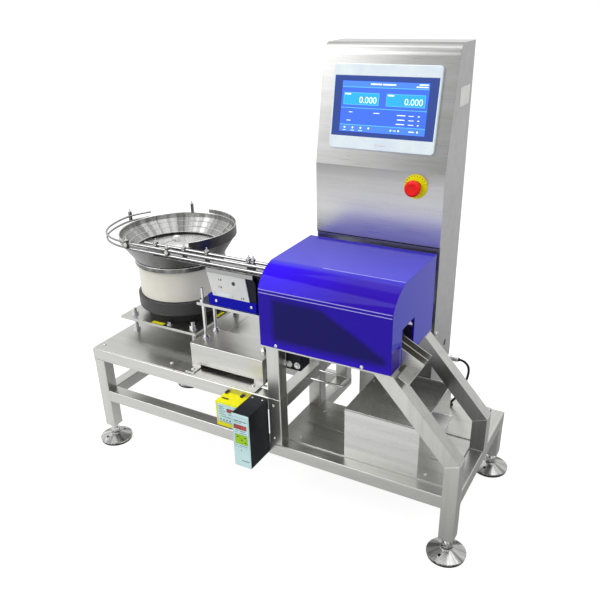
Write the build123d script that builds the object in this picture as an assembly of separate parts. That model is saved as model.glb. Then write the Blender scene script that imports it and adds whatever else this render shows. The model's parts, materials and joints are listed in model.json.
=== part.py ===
from build123d import *
import math
import os

# A checkweigher for small parts. A vibrating bowl lines the parts up, a linear feeder carries them
# under a coloured acrylic cover where they are weighed, and a chute lets them out on the right.
# A sheet-metal column behind the cover carries the operator's screen and the stop button.
# Millimetres. X runs along the machine towards the outlet, Y to the back, Z up from the floor.
# While it is built, X is 0 at the left end of the frame and Y is 0 at the frame's front face.

# Square tube of the welded frame
TUBE = 38.0
TUBE_WALL = 1.5
TUBE_CORNER = 3.0
LEG_PLUG = 8.0

# Frame: its table for the feeders, the bay of the weighing place, and the heights of its two levels
TABLE_LENGTH = 673.0
WEIGH_BAY_LENGTH = 490.0
FRAME_DEPTH = 444.0
WEIGH_BAY_DEPTH = 264.0
TABLE_TOP = 339.0
BASE_TOP = 194.0
LEG_BOTTOM = 60.0
PLATE = 3.0
TABLE_SPLIT = 312.0
TABLE_GAP = 2.0
TABLE_EDGE = 3.0
TUBE_BARE = 44.0
FLOOR_JOINT = 131.0
FLOOR_LAP = 2.0
FLOOR_GAP = 2.0
FLOOR_BEARER = 32.0
FLOOR_BEARER_THICK = 6.0

# Slanted braces at the outlet end
BRACE_SHOULDER_RISE = 87.0
BRACE_ANGLE = 48.2
COVER_BASE_RISE = 158.0
COVER_BASE_THICK = 4.0

# Levelling feet
FOOT_RADIUS = 51.0
FOOT_PAD = 7.0
FOOT_EDGE = 4.0
FOOT_CONE = 20.0
FOOT_NECK_RADIUS = 17.0
FOOT_NECK = 3.0
FOOT_TOP_RADIUS = 15.0
FOOT_PAD_INSET = 2.0
FOOT_STEM_RADIUS = 8.0
FOOT_NUT = 13.0
FOOT_NUT_RISE = 3.0
FOOT_LOCK_NUT = 9.0
FOOT_NUT_ACROSS = 24.0

# Column with the screen
COLUMN_OVER_TABLE = 34.0
COLUMN_TO_FRAME_END = 177.0
COLUMN_FRONT = 282.5
COLUMN_TOP = 1189.0
COLUMN_KINK = 904.0
COLUMN_LEAN = 10.6
COLUMN_CROWN = 32.0
COLUMN_DOOR = 3.0
PANEL_BOTTOM = 721.0
PANEL_PROUD = 4.0
PEDESTAL_SETBACK = 133.0
DOOR_MARGIN = 6.0

# Operator's screen on the leaning panel
SCREEN_WIDTH = 277.0
SCREEN_HEIGHT = 200.0
SCREEN_THICK = 8.0
SCREEN_CORNER = 9.0
SCREEN_SHIFT = 1.5
SCREEN_BOTTOM_Z = 945.0
GLASS_HEIGHT = 142.0
GLASS_TOP_BAND = 27.0
GLASS_THICK = 1.5
GLASS_SIDE_MARGIN = 4.5
BEZEL_ROUND = 2.0

# Stop button
STOP_TO_COLUMN_SIDE = 72.0
STOP_Z = 869.0
STOP_RING_RADIUS = 30.0
STOP_RING_THICK = 2.0
STOP_COLLAR_RADIUS = 14.5
STOP_COLLAR_LENGTH = 9.0
STOP_HEAD_RADIUS = 20.0
STOP_HEAD_DEPTH = 15.0
STOP_STEM_RADIUS = 9.0
STOP_TRAVEL = 4.0
STOP_CLEAR = 1.0
STOP_STEM_CLEAR = 0.5
STOP_HEAD_ROUND = 5.0

# Acrylic cover over the weighing place
COVER_OVER_TABLE = 47.0
COVER_TO_FRAME_END = 180.0
COVER_OVERHANG = 8.0
COVER_BACK_PAST_BAY = 6.0
COVER_HEIGHT = 208.0
COVER_WALL = 5.0
COVER_BEND_DROP = 52.0
COVER_BEND_DEPTH = 72.0
COVER_BULGE = 10.0
OUTLET_FRONT = 54.0
OUTLET_BACK = 134.0
OUTLET_HEIGHT = 93.0
OUTLET_NOTCH = 120.0
INLET_MARGIN = 16.0
INLET_HEADROOM = 28.0

# Bowl feeder
BOWL_X = 153.0
BOWL_BEHIND_TRACK = 20.0
BOWL_PLATE = 295.0
BOWL_PLATE_THICK = 8.0
BOWL_PLATE_RISE = 56.0
BOWL_STUD_INSET = 32.0
BOWL_STUD_RADIUS = 6.0
BOWL_STUD_SHOWN = 12.0
BOWL_NUT = 19.0
BOWL_NUT_HEIGHT = 9.0
BOWL_RIM_RADIUS = 179.0
BOWL_WALL = 2.5
BOWL_CONE_RUN = 41.0
DRUM_UNDER_NECK = 8.0
DRUM_HEIGHT = 98.0
DRUM_RING_PROUD = 9.5
DRUM_RING_HEIGHT = 44.0
DRUM_RING_LOW_ROUND = 8.0
DRUM_RING_TOP_ROUND = 3.0
DRUM_FOOT_INSET = 15.0
DRUM_FOOT_HEIGHT = 29.0
NECK_HEIGHT = 13.0
NECK_PROUD = 3.0
BOWL_CONE_HEIGHT = 61.0
BOWL_RIM_HEIGHT = 17.0

# Domed floor of the bowl and the stepped track that climbs round it
DOME_CLEAR = 1.5
DOME_EDGE_RISE = 18.0
DOME_CROWN = 9.0
SPIRAL_WIDTH = 56.0
SPIRAL_START_RISE = 24.0
SPIRAL_TURNS = 2.75
SPIRAL_PITCH = 13.0
SPIRAL_GAIN = 17.0
SPIRAL_TREAD = 5.0
SPIRAL_SHEET = 2.0
SPIRAL_CLEAR = 0.5
SPIRAL_RIM_CLEAR = 0.3

# Low wall that is clipped round the bowl's rim and widens to the right
RIM_WALL_CLEAR = 0.3
RIM_WALL_THICK = 2.0
RIM_WALL_RISE = 14.0
RIM_WALL_START = -42.0
RIM_WALL_SWEEP = 135.0
RIM_WALL_DEEP = 17.0
RIM_WALL_FRONT = 13.0
RIM_WALL_TILT = 8.5

# Straight track from the bowl to the weighing place
TRACK_FRONT = 82.0
TRACK_BACK = 108.0
TRACK_ROD = 4.5
TRACK_UNDER_RIM = 1.0
TRACK_ROD_SPACING = 16.0
TRACK_INSIDE_COVER = 90.0
TRACK_BED_THICK = 3.0
TRACK_BED_START = 70.0
TRACK_REAR_START = 20.0
LOOP_ROD = 3.0
LOOP_PLACES = ((196.9, 23.8), (178.0, 18.1), (155.8, 4.1))
LOOP_CLIP_OUT = 20.5
LOOP_CLIP_BACK = 12.0
RIM_CLIP_ANGLE = 111.8
CLIP_SIZE = 8.0
CLIP_RISE = 29.0
FRONT_CLAMPS = (125.0, 274.0)
REAR_CLAMPS = (213.0, 313.0, 391.0, 527.0, 541.0)
CLAMP_LENGTH = 8.0
CLAMP_WIDTH = 11.0
CLAMP_RISE = 8.0

# Linear feeder
LINEAR_LENGTH = 242.0
LINEAR_TO_TABLE_END = 80.0
LINEAR_FRONT = 45.0
LINEAR_BACK = 155.0
LINEAR_BOX_LIFT = 12.0
LINEAR_BOX_HEIGHT = 64.0
LINEAR_BOX_WALL = 2.0
LINEAR_BOX_ROUND = 2.5
LINEAR_FOOT = 30.0
LINEAR_FOOT_REACH = 34.0
LINEAR_FOOT_UNDER = 14.0
LINEAR_FOOT_THICK = 3.0
LINEAR_PLATE_INSET_LEFT = 6.0
LINEAR_PLATE_INSET_RIGHT = 13.0
LINEAR_PLATE_FRONT = 84.0
LINEAR_PLATE_BACK = 160.0
LINEAR_PLATE_THICK = 8.0
LINEAR_POST_RADIUS = 5.0
LINEAR_POST_INSET = 13.0
LINEAR_POST_HEIGHT = 105.0
LINEAR_WASHER_RADIUS = 11.0
LINEAR_WASHER = 3.0
LINEAR_LOW_NUT = 6.0
LINEAR_LOW_NUT_ACROSS = 14.0
LINEAR_TOP_NUT = 7.0
LINEAR_TOP_NUT_ACROSS = 15.0
LINEAR_STUD_SHOWN = 41.0
LINEAR_STUD_RADIUS = 3.5
DRIVE_INSET_LEFT = 38.0
DRIVE_LENGTH = 157.0
DRIVE_FRONT = 92.0
DRIVE_BACK = 148.0
DRIVE_BASE_HEIGHT = 29.0
DRIVE_BODY_HEIGHT = 68.0
DRIVE_BODY_INSET = 24.0
DRIVE_BODY_ROUND = 16.0
DRIVE_SIDE_THICK = 3.0
DRIVE_SIDE_TOP = 126.0
DRIVE_SIDE_LOW_START = 17.0
DRIVE_SIDE_LOW_END = 137.0
DRIVE_BAR_LENGTH = 152.0
DRIVE_BAR_HEIGHT = 12.0
DRIVE_BAR_LIP = 2.0
TRACK_SUPPORT_LENGTH = 20.0
TRACK_SUPPORT_PLACES = (20.0, 110.0)

# Collection bin and outlet chute
BIN_UNDER_COVER = 140.0
BIN_PAST_COVER = 64.0
BIN_HEIGHT = 146.0
BIN_WALL = 1.5
BIN_FLANGE = 52.0
BIN_FLANGE_FRONT = 50.0
BIN_FLANGE_BACK = 132.0
CHUTE_FRONT = 57.0
CHUTE_BACK = 108.0
CHUTE_LIP_RISE = 43.0
CHUTE_SLOPE = 28.0
CHUTE_DEPTH = 40.0
CHUTE_OUT = 66.0
CHUTE_IN = 90.0
CHUTE_WALL = 2.0
CHUTE_CHAMFER_LENGTH = 9.0
CHUTE_CHAMFER_DEPTH = 21.0
CHUTE_SHELF_START = 33.0
CHUTE_SHELF_FRONT = 10.0
BRACKET_START = 85.0
BRACKET_END = 45.0
BRACKET_HEIGHT = 60.0
BRACKET_FOOT = 14.0
BRACKET_SHEET = 2.0

# Control boxes on the front rail, with their pale front panels
BLACK_BOX_TO_TABLE_END = 92.0
BLACK_BOX_WIDTH = 52.0
BLACK_BOX_DEPTH = 94.5
BLACK_BOX_HEIGHT = 166.0
BLACK_BOX_DROP = 7.0
YELLOW_BOX_GAP = 7.0
YELLOW_BOX_WIDTH = 77.0
YELLOW_BOX_DEPTH = 50.5
YELLOW_BOX_HEIGHT = 77.0
YELLOW_BOX_DROP = 19.0
BOX_PANEL_THICK = 1.5
YELLOW_PANEL_MARGIN = 5.0
YELLOW_PANEL_FOOT = 14.0

# Load cell under the cover's base, and the wire ring on the frame's middle rail
CELL_OVER_TABLE = 5.0
CELL_LENGTH = 44.0
CELL_FRONT = 45.0
CELL_DEPTH = 50.0
CELL_HEIGHT = 80.0
RING_WIRE = 3.0
RING_REACH = 107.0
RING_FRONT = 163.0
RING_WIDTH = 52.0
RING_CORNER = 10.0
RING_DROP = 14.0

# Cable from the column to the floor plate
GLAND_FROM_BACK = 14.0
GLAND_Z = 339.3
GLAND_RADIUS = 8.0
GLAND_LENGTH = 32.0
GLAND_NUT = 8.0
GLAND_NUT_RISE = 2.0
CABLE_RADIUS = 3.5
CABLE_ARC_SHARE = 0.45
CABLE_ROUTE = ((12.0, 0.0, 0.0), (23.5, 0.0, -6.5), (31.5, 0.0, -17.0), (33.5, -0.5, -32.0),
               (31.0, -2.0, -53.0), (25.0, -7.0, -78.0), (14.0, -15.0, -105.0), (4.0, -21.0, -122.0),
               (-5.5, -22.5, -134.0))
GROMMET_RADIUS = 8.0
GROMMET_RISE = 3.0
GROMMET_CLEAR = 0.3

# Values worked out from those above
FRAME_LENGTH = TABLE_LENGTH + WEIGH_BAY_LENGTH
MID_LEFT = TABLE_LENGTH - TUBE
RIGHT_INNER = FRAME_LENGTH - TUBE
BACK_INNER = FRAME_DEPTH - TUBE
BAY_INNER = WEIGH_BAY_DEPTH - TUBE
FLOOR_TOP = BASE_TOP + PLATE
TABLE_PLATE_TOP = TABLE_TOP + PLATE
BRACE_SHOULDER = BASE_TOP + BRACE_SHOULDER_RISE
LEAN = math.radians(COLUMN_LEAN)

COLUMN_LEFT = TABLE_LENGTH - COLUMN_OVER_TABLE
COLUMN_RIGHT = FRAME_LENGTH - COLUMN_TO_FRAME_END
COLUMN_BACK = FRAME_DEPTH
PEDESTAL_LEFT = COLUMN_LEFT + PEDESTAL_SETBACK
PEDESTAL_FRONT = COLUMN_FRONT + PANEL_PROUD
SCREEN_CENTRE_X = (COLUMN_LEFT + COLUMN_RIGHT) / 2 + SCREEN_SHIFT
STOP_X = COLUMN_RIGHT - STOP_TO_COLUMN_SIDE

COVER_BASE_Z = TABLE_TOP + COVER_BASE_RISE
COVER_BASE_TOP = COVER_BASE_Z + COVER_BASE_THICK
COVER_LEFT = TABLE_LENGTH - COVER_OVER_TABLE
COVER_RIGHT = FRAME_LENGTH - COVER_TO_FRAME_END
COVER_FRONT = -COVER_OVERHANG
COVER_BACK = WEIGH_BAY_DEPTH + COVER_BACK_PAST_BAY
COVER_TOP = COVER_BASE_TOP + COVER_HEIGHT
COVER_BEND_Z = COVER_TOP - COVER_BEND_DROP
COVER_BEND_Y = COVER_FRONT + COVER_BEND_DEPTH

BOWL_Y = TRACK_FRONT + BOWL_BEHIND_TRACK + BOWL_RIM_RADIUS
BOWL_FOOT_RADIUS = BOWL_RIM_RADIUS - BOWL_CONE_RUN
SPIRAL_START_RADIUS = BOWL_RIM_RADIUS - SPIRAL_WIDTH
DOME_RADIUS = SPIRAL_START_RADIUS - DOME_CLEAR
NECK_RADIUS = BOWL_FOOT_RADIUS + NECK_PROUD
DRUM_RADIUS = NECK_RADIUS - DRUM_UNDER_NECK
DRUM_RING_RADIUS = DRUM_RADIUS + DRUM_RING_PROUD
DRUM_FOOT_RADIUS = DRUM_RADIUS - DRUM_FOOT_INSET
BOWL_PLATE_TOP = TABLE_TOP + BOWL_PLATE_RISE
DRUM_RING_BOTTOM = BOWL_PLATE_TOP + DRUM_FOOT_HEIGHT
DRUM_RING_TOP = DRUM_RING_BOTTOM + DRUM_RING_HEIGHT
DRUM_TOP = DRUM_RING_TOP + DRUM_HEIGHT
NECK_TOP = DRUM_TOP + NECK_HEIGHT
BOWL_FLOOR_TOP = NECK_TOP + BOWL_WALL
BOWL_RIM_TOP = NECK_TOP + BOWL_CONE_HEIGHT + BOWL_RIM_HEIGHT

TRACK_LOW_Z = BOWL_RIM_TOP - TRACK_UNDER_RIM
TRACK_TOP_Z = TRACK_LOW_Z + TRACK_ROD_SPACING
TRACK_BED = TRACK_LOW_Z - TRACK_ROD
TRACK_END = COVER_LEFT + TRACK_INSIDE_COVER

LINEAR_RIGHT = TABLE_LENGTH - LINEAR_TO_TABLE_END
LINEAR_LEFT = LINEAR_RIGHT - LINEAR_LENGTH
LINEAR_BOX_BOTTOM = TABLE_PLATE_TOP + LINEAR_BOX_LIFT
LINEAR_BOX_TOP = LINEAR_BOX_BOTTOM + LINEAR_BOX_HEIGHT
LINEAR_PLATE_LEFT = LINEAR_LEFT + LINEAR_PLATE_INSET_LEFT
LINEAR_PLATE_RIGHT = LINEAR_RIGHT - LINEAR_PLATE_INSET_RIGHT
LINEAR_PLATE_BOTTOM = LINEAR_BOX_TOP + LINEAR_POST_HEIGHT
LINEAR_PLATE_TOP = LINEAR_PLATE_BOTTOM + LINEAR_PLATE_THICK
DRIVE_LEFT = LINEAR_PLATE_LEFT + DRIVE_INSET_LEFT
DRIVE_RIGHT = DRIVE_LEFT + DRIVE_LENGTH
DRIVE_BASE_TOP = LINEAR_PLATE_TOP + DRIVE_BASE_HEIGHT
DRIVE_TOP = DRIVE_BASE_TOP + DRIVE_BODY_HEIGHT
DRIVE_BAR_TOP = DRIVE_TOP + DRIVE_BAR_HEIGHT

BIN_LEFT = COVER_RIGHT - BIN_UNDER_COVER
BIN_RIGHT = COVER_RIGHT + BIN_PAST_COVER
BIN_FRONT = TUBE
BIN_BACK = COLUMN_FRONT
BIN_TOP = FLOOR_TOP + BIN_HEIGHT
CHUTE_LIP_Z = COVER_BASE_TOP + CHUTE_LIP_RISE

BLACK_BOX_LEFT = TABLE_LENGTH - BLACK_BOX_TO_TABLE_END
BLACK_BOX_TOP = TABLE_TOP - BLACK_BOX_DROP
YELLOW_BOX_LEFT = BLACK_BOX_LEFT - YELLOW_BOX_GAP - YELLOW_BOX_WIDTH
YELLOW_BOX_TOP = TABLE_TOP - YELLOW_BOX_DROP
GLAND_Y = COLUMN_BACK - GLAND_FROM_BACK

parts = {}


def add(name, *shapes):
    parts[name] = Compound([solid for shape in shapes for solid in shape.solids()])


def block(x0, x1, y0, y1, z0, z1):
    return Pos((x0 + x1) / 2, (y0 + y1) / 2, (z0 + z1) / 2) * Box(x1 - x0, y1 - y0, z1 - z0)


def rod(x, y, z0, z1, radius):
    return Pos(x, y, (z0 + z1) / 2) * Cylinder(radius, z1 - z0)


def rod_y(x, z, y0, y1, radius):
    return Pos(x, (y0 + y1) / 2, z) * Rot(90, 0, 0) * Cylinder(radius, y1 - y0)


def rod_x(y, z, x0, x1, radius):
    return Pos((x0 + x1) / 2, y, z) * Rot(0, 90, 0) * Cylinder(radius, x1 - x0)


def hexagon(x, y, z0, z1, across):
    face = Pos(x, y, z0) * RegularPolygon(across / 2, 6, major_radius=False)
    return extrude(face, z1 - z0)


def tube_section():
    outer = RectangleRounded(TUBE, TUBE, TUBE_CORNER)
    inner = RectangleRounded(TUBE - 2 * TUBE_WALL, TUBE - 2 * TUBE_WALL, TUBE_CORNER - TUBE_WALL)
    return outer - inner


def tube_z(x, y, z0, z1):
    return extrude(Pos(x + TUBE / 2, y + TUBE / 2, z0) * tube_section(), z1 - z0)


def tube_x(x0, x1, y, z):
    return extrude(Pos(x0, y + TUBE / 2, z + TUBE / 2) * Rot(0, 90, 0) * tube_section(), x1 - x0)


def tube_y(x, y0, y1, z):
    return extrude(Pos(x + TUBE / 2, y0, z + TUBE / 2) * Rot(-90, 0, 0) * tube_section(), y1 - y0)


def foot_plug(x, y):
    # Closes the foot of a leg and takes the levelling stem's thread
    return block(x + TUBE_WALL, x + TUBE - TUBE_WALL, y + TUBE_WALL, y + TUBE - TUBE_WALL,
                 LEG_BOTTOM, LEG_BOTTOM + LEG_PLUG)


def leg(x, y, top):
    return tube_z(x, y, LEG_BOTTOM, top) + foot_plug(x, y)


def cap(x, y, z, along):
    # Closes a free end of a tube whose lower front left corner is given
    low = [x, y, z]
    high = [x + TUBE, y + TUBE, z + TUBE]
    for axis in range(3):
        if axis == along:
            high[axis] = low[axis] + TUBE_WALL
        else:
            low[axis] += TUBE_WALL
            high[axis] -= TUBE_WALL
    return block(low[0], high[0], low[1], high[1], low[2], high[2])


def frame():
    table_rail = TABLE_TOP - TUBE
    base_rail = BASE_TOP - TUBE
    post_cap = TABLE_TOP - TUBE_WALL
    add("frame_legs",
        leg(0, 0, table_rail),
        leg(0, BACK_INNER, table_rail),
        leg(RIGHT_INNER, BACK_INNER, base_rail))
    add("frame_long_rails",
        tube_x(0, MID_LEFT, 0, table_rail) + cap(0, 0, table_rail, 0),
        tube_x(0, MID_LEFT, BACK_INNER, table_rail) + cap(0, BACK_INNER, table_rail, 0),
        tube_x(TUBE, RIGHT_INNER, 0, base_rail),
        tube_x(TUBE, MID_LEFT, BACK_INNER, base_rail),
        tube_x(TABLE_LENGTH, RIGHT_INNER, BAY_INNER, base_rail),
        tube_x(PEDESTAL_LEFT, RIGHT_INNER, BACK_INNER, base_rail)
        + cap(PEDESTAL_LEFT, BACK_INNER, base_rail, 0))
    end_y = FRAME_DEPTH - TUBE_WALL
    add("frame_cross_rails",
        tube_y(0, TUBE, BACK_INNER, table_rail),
        tube_y(MID_LEFT, TUBE, BAY_INNER, table_rail),
        tube_y(MID_LEFT, WEIGH_BAY_DEPTH, BACK_INNER, table_rail),
        tube_y(0, TUBE, BACK_INNER, base_rail),
        tube_y(MID_LEFT, TUBE, FRAME_DEPTH, base_rail) + cap(MID_LEFT, end_y, base_rail, 1),
        tube_y(PEDESTAL_LEFT, WEIGH_BAY_DEPTH, BACK_INNER, base_rail),
        tube_y(RIGHT_INNER, TUBE, FRAME_DEPTH, base_rail) + cap(RIGHT_INNER, end_y, base_rail, 1))
    add("frame_mid_posts",
        tube_z(MID_LEFT, 0, BASE_TOP, TABLE_TOP),
        tube_z(MID_LEFT, BAY_INNER, BASE_TOP, TABLE_TOP),
        tube_z(MID_LEFT, BACK_INNER, BASE_TOP, TABLE_TOP) + cap(MID_LEFT, BACK_INNER, post_cap, 2))
    add("cover_posts",
        tube_z(MID_LEFT, 0, TABLE_TOP, COVER_BASE_Z),
        tube_z(MID_LEFT, BAY_INNER, TABLE_TOP, COVER_BASE_Z))
    add("brace_front", brace(0, LEG_BOTTOM) + foot_plug(RIGHT_INNER, 0))
    add("brace_rear", brace(BAY_INNER, BASE_TOP))


def brace(y, z0):
    # An upright and a slanted tube meet in a mitre and end flat under the cover's base
    slope = math.radians(BRACE_ANGLE)
    mitre = (math.pi / 2 - slope) / 2
    outer_shoulder = BRACE_SHOULDER + TUBE * math.tan(mitre)

    def outline(inset):
        # The shoulders move along the mitre as the wall is taken off both sides
        left = RIGHT_INNER + inset
        right = FRAME_LENGTH - inset
        low = BRACE_SHOULDER + inset * math.tan(mitre)
        high = outer_shoulder - inset * math.tan(mitre)
        left_run = (COVER_BASE_Z - low) / math.tan(slope)
        right_run = (COVER_BASE_Z - high) / math.tan(slope)
        return [(left, z0), (right, z0), (right, high), (right - right_run, COVER_BASE_Z),
                (left - left_run, COVER_BASE_Z), (left, low)]

    def prism(inset, y0, y1):
        edge = Polyline(*[(x, y0, z) for x, z in outline(inset)], close=True)
        return extrude(make_face(edge), y1 - y0, dir=(0, 1, 0))

    return prism(0, y, y + TUBE) - prism(TUBE_WALL, y + TUBE_WALL, y + TUBE - TUBE_WALL)


def feet():
    centres = [(TUBE / 2, TUBE / 2), (TUBE / 2, FRAME_DEPTH - TUBE / 2),
               (FRAME_LENGTH - TUBE / 2, TUBE / 2), (FRAME_LENGTH - TUBE / 2, FRAME_DEPTH - TUBE / 2)]
    cone_top = FOOT_PAD + FOOT_CONE
    profile = Polyline((0, FOOT_PAD), (FOOT_RADIUS, FOOT_PAD), (FOOT_RADIUS, FOOT_PAD + FOOT_EDGE),
                       (FOOT_NECK_RADIUS, cone_top - FOOT_NECK), (FOOT_TOP_RADIUS, cone_top),
                       (0, cone_top), close=True)
    disc = revolve(make_face(Plane.XZ * profile), Axis.Z)
    pads = [rod(x, y, 0, FOOT_PAD, FOOT_RADIUS - FOOT_PAD_INSET) for x, y in centres]
    discs = [Pos(x, y, 0) * disc for x, y in centres]
    nut_foot = cone_top + FOOT_NUT_RISE
    stems = [rod(x, y, cone_top, LEG_BOTTOM, FOOT_STEM_RADIUS)
             + hexagon(x, y, nut_foot, nut_foot + FOOT_NUT, FOOT_NUT_ACROSS)
             + hexagon(x, y, LEG_BOTTOM - FOOT_LOCK_NUT, LEG_BOTTOM, FOOT_NUT_ACROSS) for x, y in centres]
    add("foot_pads", *pads)
    add("foot_discs", *discs)
    add("foot_stems", *stems)


def plates():
    back = FRAME_DEPTH - TABLE_EDGE
    add("table_plate_left",
        block(TABLE_EDGE, TABLE_SPLIT, TABLE_EDGE, back, TABLE_TOP, TABLE_PLATE_TOP))
    add("table_plate_right",
        block(TABLE_SPLIT + TABLE_GAP, MID_LEFT - TUBE_BARE, TABLE_EDGE, back, TABLE_TOP, TABLE_PLATE_TOP))
    add("floor_plates",
        block(TABLE_LENGTH, RIGHT_INNER, TUBE - FLOOR_LAP, FLOOR_JOINT, BASE_TOP, FLOOR_TOP),
        block(TABLE_LENGTH, RIGHT_INNER, FLOOR_JOINT + FLOOR_GAP, BAY_INNER + FLOOR_LAP, BASE_TOP, FLOOR_TOP),
        block(PEDESTAL_LEFT, RIGHT_INNER, WEIGH_BAY_DEPTH - FLOOR_LAP, FRAME_DEPTH, BASE_TOP, FLOOR_TOP))
    add("floor_bearer",
        block(TABLE_LENGTH, RIGHT_INNER, FLOOR_JOINT - FLOOR_BEARER / 2, FLOOR_JOINT + FLOOR_BEARER / 2,
              BASE_TOP - FLOOR_BEARER_THICK, BASE_TOP))


def column():
    lean_run = (COLUMN_TOP - COLUMN_KINK) * math.tan(LEAN)
    top_front = COLUMN_FRONT + lean_run
    door_y = COLUMN_BACK - COLUMN_DOOR
    side = Plane.YZ * Polyline(
        (COLUMN_FRONT, TABLE_TOP), (COLUMN_FRONT, COLUMN_KINK), (top_front, COLUMN_TOP),
        (door_y, COLUMN_TOP), (door_y, TABLE_TOP), close=True)
    body = extrude(Pos(COLUMN_LEFT, 0, 0) * make_face(side), COLUMN_RIGHT - COLUMN_LEFT, dir=(1, 0, 0))
    crown = body.edges().filter_by(Axis.X).sort_by(
        lambda e: abs(e.center().Z - COLUMN_TOP) + abs(e.center().Y - top_front))[0]
    body = fillet(crown, COLUMN_CROWN)
    recess = block(COLUMN_LEFT - 1, COLUMN_RIGHT + 1, COLUMN_FRONT - 1, PEDESTAL_FRONT,
                   TABLE_TOP - 1, PANEL_BOTTOM)
    add("column_cabinet", body - recess)
    add("column_pedestal",
        block(PEDESTAL_LEFT, COLUMN_RIGHT, PEDESTAL_FRONT, COLUMN_BACK, FLOOR_TOP, TABLE_TOP))
    add("column_back_door",
        block(COLUMN_LEFT + DOOR_MARGIN, COLUMN_RIGHT - DOOR_MARGIN, door_y, COLUMN_BACK,
              TABLE_TOP + DOOR_MARGIN, COLUMN_TOP - DOOR_MARGIN))


def leaning(x, up, out):
    # A place on the leaning panel: up along it from the kink, out towards the operator
    return Pos(x, COLUMN_FRONT + up * math.sin(LEAN) - out * math.cos(LEAN),
               COLUMN_KINK + up * math.cos(LEAN) + out * math.sin(LEAN)) * Rot(90 - COLUMN_LEAN, 0, 0)


def screen():
    low = (SCREEN_BOTTOM_Z - COLUMN_KINK) / math.cos(LEAN)
    centre = low + SCREEN_HEIGHT / 2
    bezel = extrude(RectangleRounded(SCREEN_WIDTH, SCREEN_HEIGHT, SCREEN_CORNER), SCREEN_THICK)
    rim = bezel.faces().sort_by(Axis.Z)[-1].edges()
    bezel = fillet(rim, BEZEL_ROUND)
    glass_width = SCREEN_WIDTH - 2 * GLASS_SIDE_MARGIN
    glass_up = SCREEN_HEIGHT / 2 - GLASS_TOP_BAND - GLASS_HEIGHT / 2
    pocket = Pos(0, glass_up, SCREEN_THICK - GLASS_THICK / 2) * Box(glass_width, GLASS_HEIGHT, GLASS_THICK)
    add("screen_bezel", leaning(SCREEN_CENTRE_X, centre, 0) * (bezel - pocket))
    add("screen_glass", leaning(SCREEN_CENTRE_X, centre, 0) * pocket)


def stop_button():
    ring_face = COLUMN_FRONT - STOP_RING_THICK
    collar_face = ring_face - STOP_COLLAR_LENGTH
    head_back = collar_face - STOP_TRAVEL - STOP_CLEAR
    head_front = head_back - STOP_HEAD_DEPTH
    bore = rod_y(STOP_X, STOP_Z, collar_face - 1, COLUMN_FRONT, STOP_STEM_RADIUS + STOP_STEM_CLEAR)
    add("stop_ring",
        rod_y(STOP_X, STOP_Z, ring_face, COLUMN_FRONT, STOP_RING_RADIUS) - bore)
    add("stop_collar",
        rod_y(STOP_X, STOP_Z, collar_face, ring_face, STOP_COLLAR_RADIUS) - bore)
    head = rod_y(STOP_X, STOP_Z, head_front, head_back, STOP_HEAD_RADIUS)
    head = fillet(head.faces().sort_by(Axis.Y)[0].edges(), STOP_HEAD_ROUND)
    stem_end = COLUMN_FRONT - STOP_TRAVEL - STOP_CLEAR
    add("stop_head", head + rod_y(STOP_X, STOP_Z, head_back, stem_end, STOP_STEM_RADIUS))


def cover_outline(inset):
    front = COVER_FRONT + inset
    top = COVER_TOP - inset
    low = (front, COVER_BEND_Z)
    high = (COVER_BEND_Y, top)
    middle = ((low[0] + high[0]) / 2 - COVER_BULGE * 0.6, (low[1] + high[1]) / 2 + COVER_BULGE * 0.8)
    bottom = COVER_BASE_TOP
    back = COVER_BACK
    return Curve() + [
        Line((front, bottom), low), ThreePointArc(low, middle, high), Line(high, (back, top)),
        Line((back, top), (back, bottom)), Line((back, bottom), (front, bottom))]


def cover():
    outer = extrude(Pos(COVER_LEFT, 0, 0) * (Plane.YZ * make_face(cover_outline(0))),
                    COVER_RIGHT - COVER_LEFT, dir=(1, 0, 0))
    inner = extrude(Pos(COVER_LEFT + COVER_WALL, 0, 0) * (Plane.YZ * make_face(cover_outline(COVER_WALL))),
                    COVER_RIGHT - COVER_LEFT - 2 * COVER_WALL, dir=(1, 0, 0))
    shell = outer - inner
    shell -= block(COVER_RIGHT - COVER_WALL - 1, COVER_RIGHT + 1, OUTLET_FRONT, OUTLET_BACK,
                   COVER_BASE_TOP - 1, COVER_BASE_TOP + OUTLET_HEIGHT)
    shell -= block(COVER_LEFT - 1, COVER_LEFT + COVER_WALL + 1, TRACK_FRONT - INLET_MARGIN,
                   TRACK_BACK + INLET_MARGIN, COVER_BASE_TOP - 1, TRACK_TOP_Z + INLET_HEADROOM)
    add("weigh_cover", shell)
    base = block(COVER_LEFT, COVER_RIGHT, COVER_FRONT, COVER_BACK, COVER_BASE_Z, COVER_BASE_TOP)
    base -= block(COVER_RIGHT - OUTLET_NOTCH, COVER_RIGHT + 1, OUTLET_FRONT, OUTLET_BACK,
                  COVER_BASE_Z - 1, COVER_BASE_TOP + 1)
    add("cover_base", base)
    cell_left = TABLE_LENGTH - CELL_OVER_TABLE
    add("weigh_cell", block(cell_left, cell_left + CELL_LENGTH, CELL_FRONT, CELL_FRONT + CELL_DEPTH,
                            COVER_BASE_Z - CELL_HEIGHT, COVER_BASE_Z))


def wire_ring():
    # A bent wire whose two ends are welded to the middle rail's right side
    height = TABLE_TOP - RING_DROP
    near = RING_FRONT
    far = RING_FRONT + RING_WIDTH
    end_x = TABLE_LENGTH + RING_REACH
    path = FilletPolyline((TABLE_LENGTH, near, height), (end_x, near, height), (end_x, far, height),
                          (TABLE_LENGTH, far, height), radius=RING_CORNER)
    section = Plane(origin=(TABLE_LENGTH, near, height), z_dir=(1, 0, 0)) * Circle(RING_WIRE)
    add("wire_ring", sweep(section, path))


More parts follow.
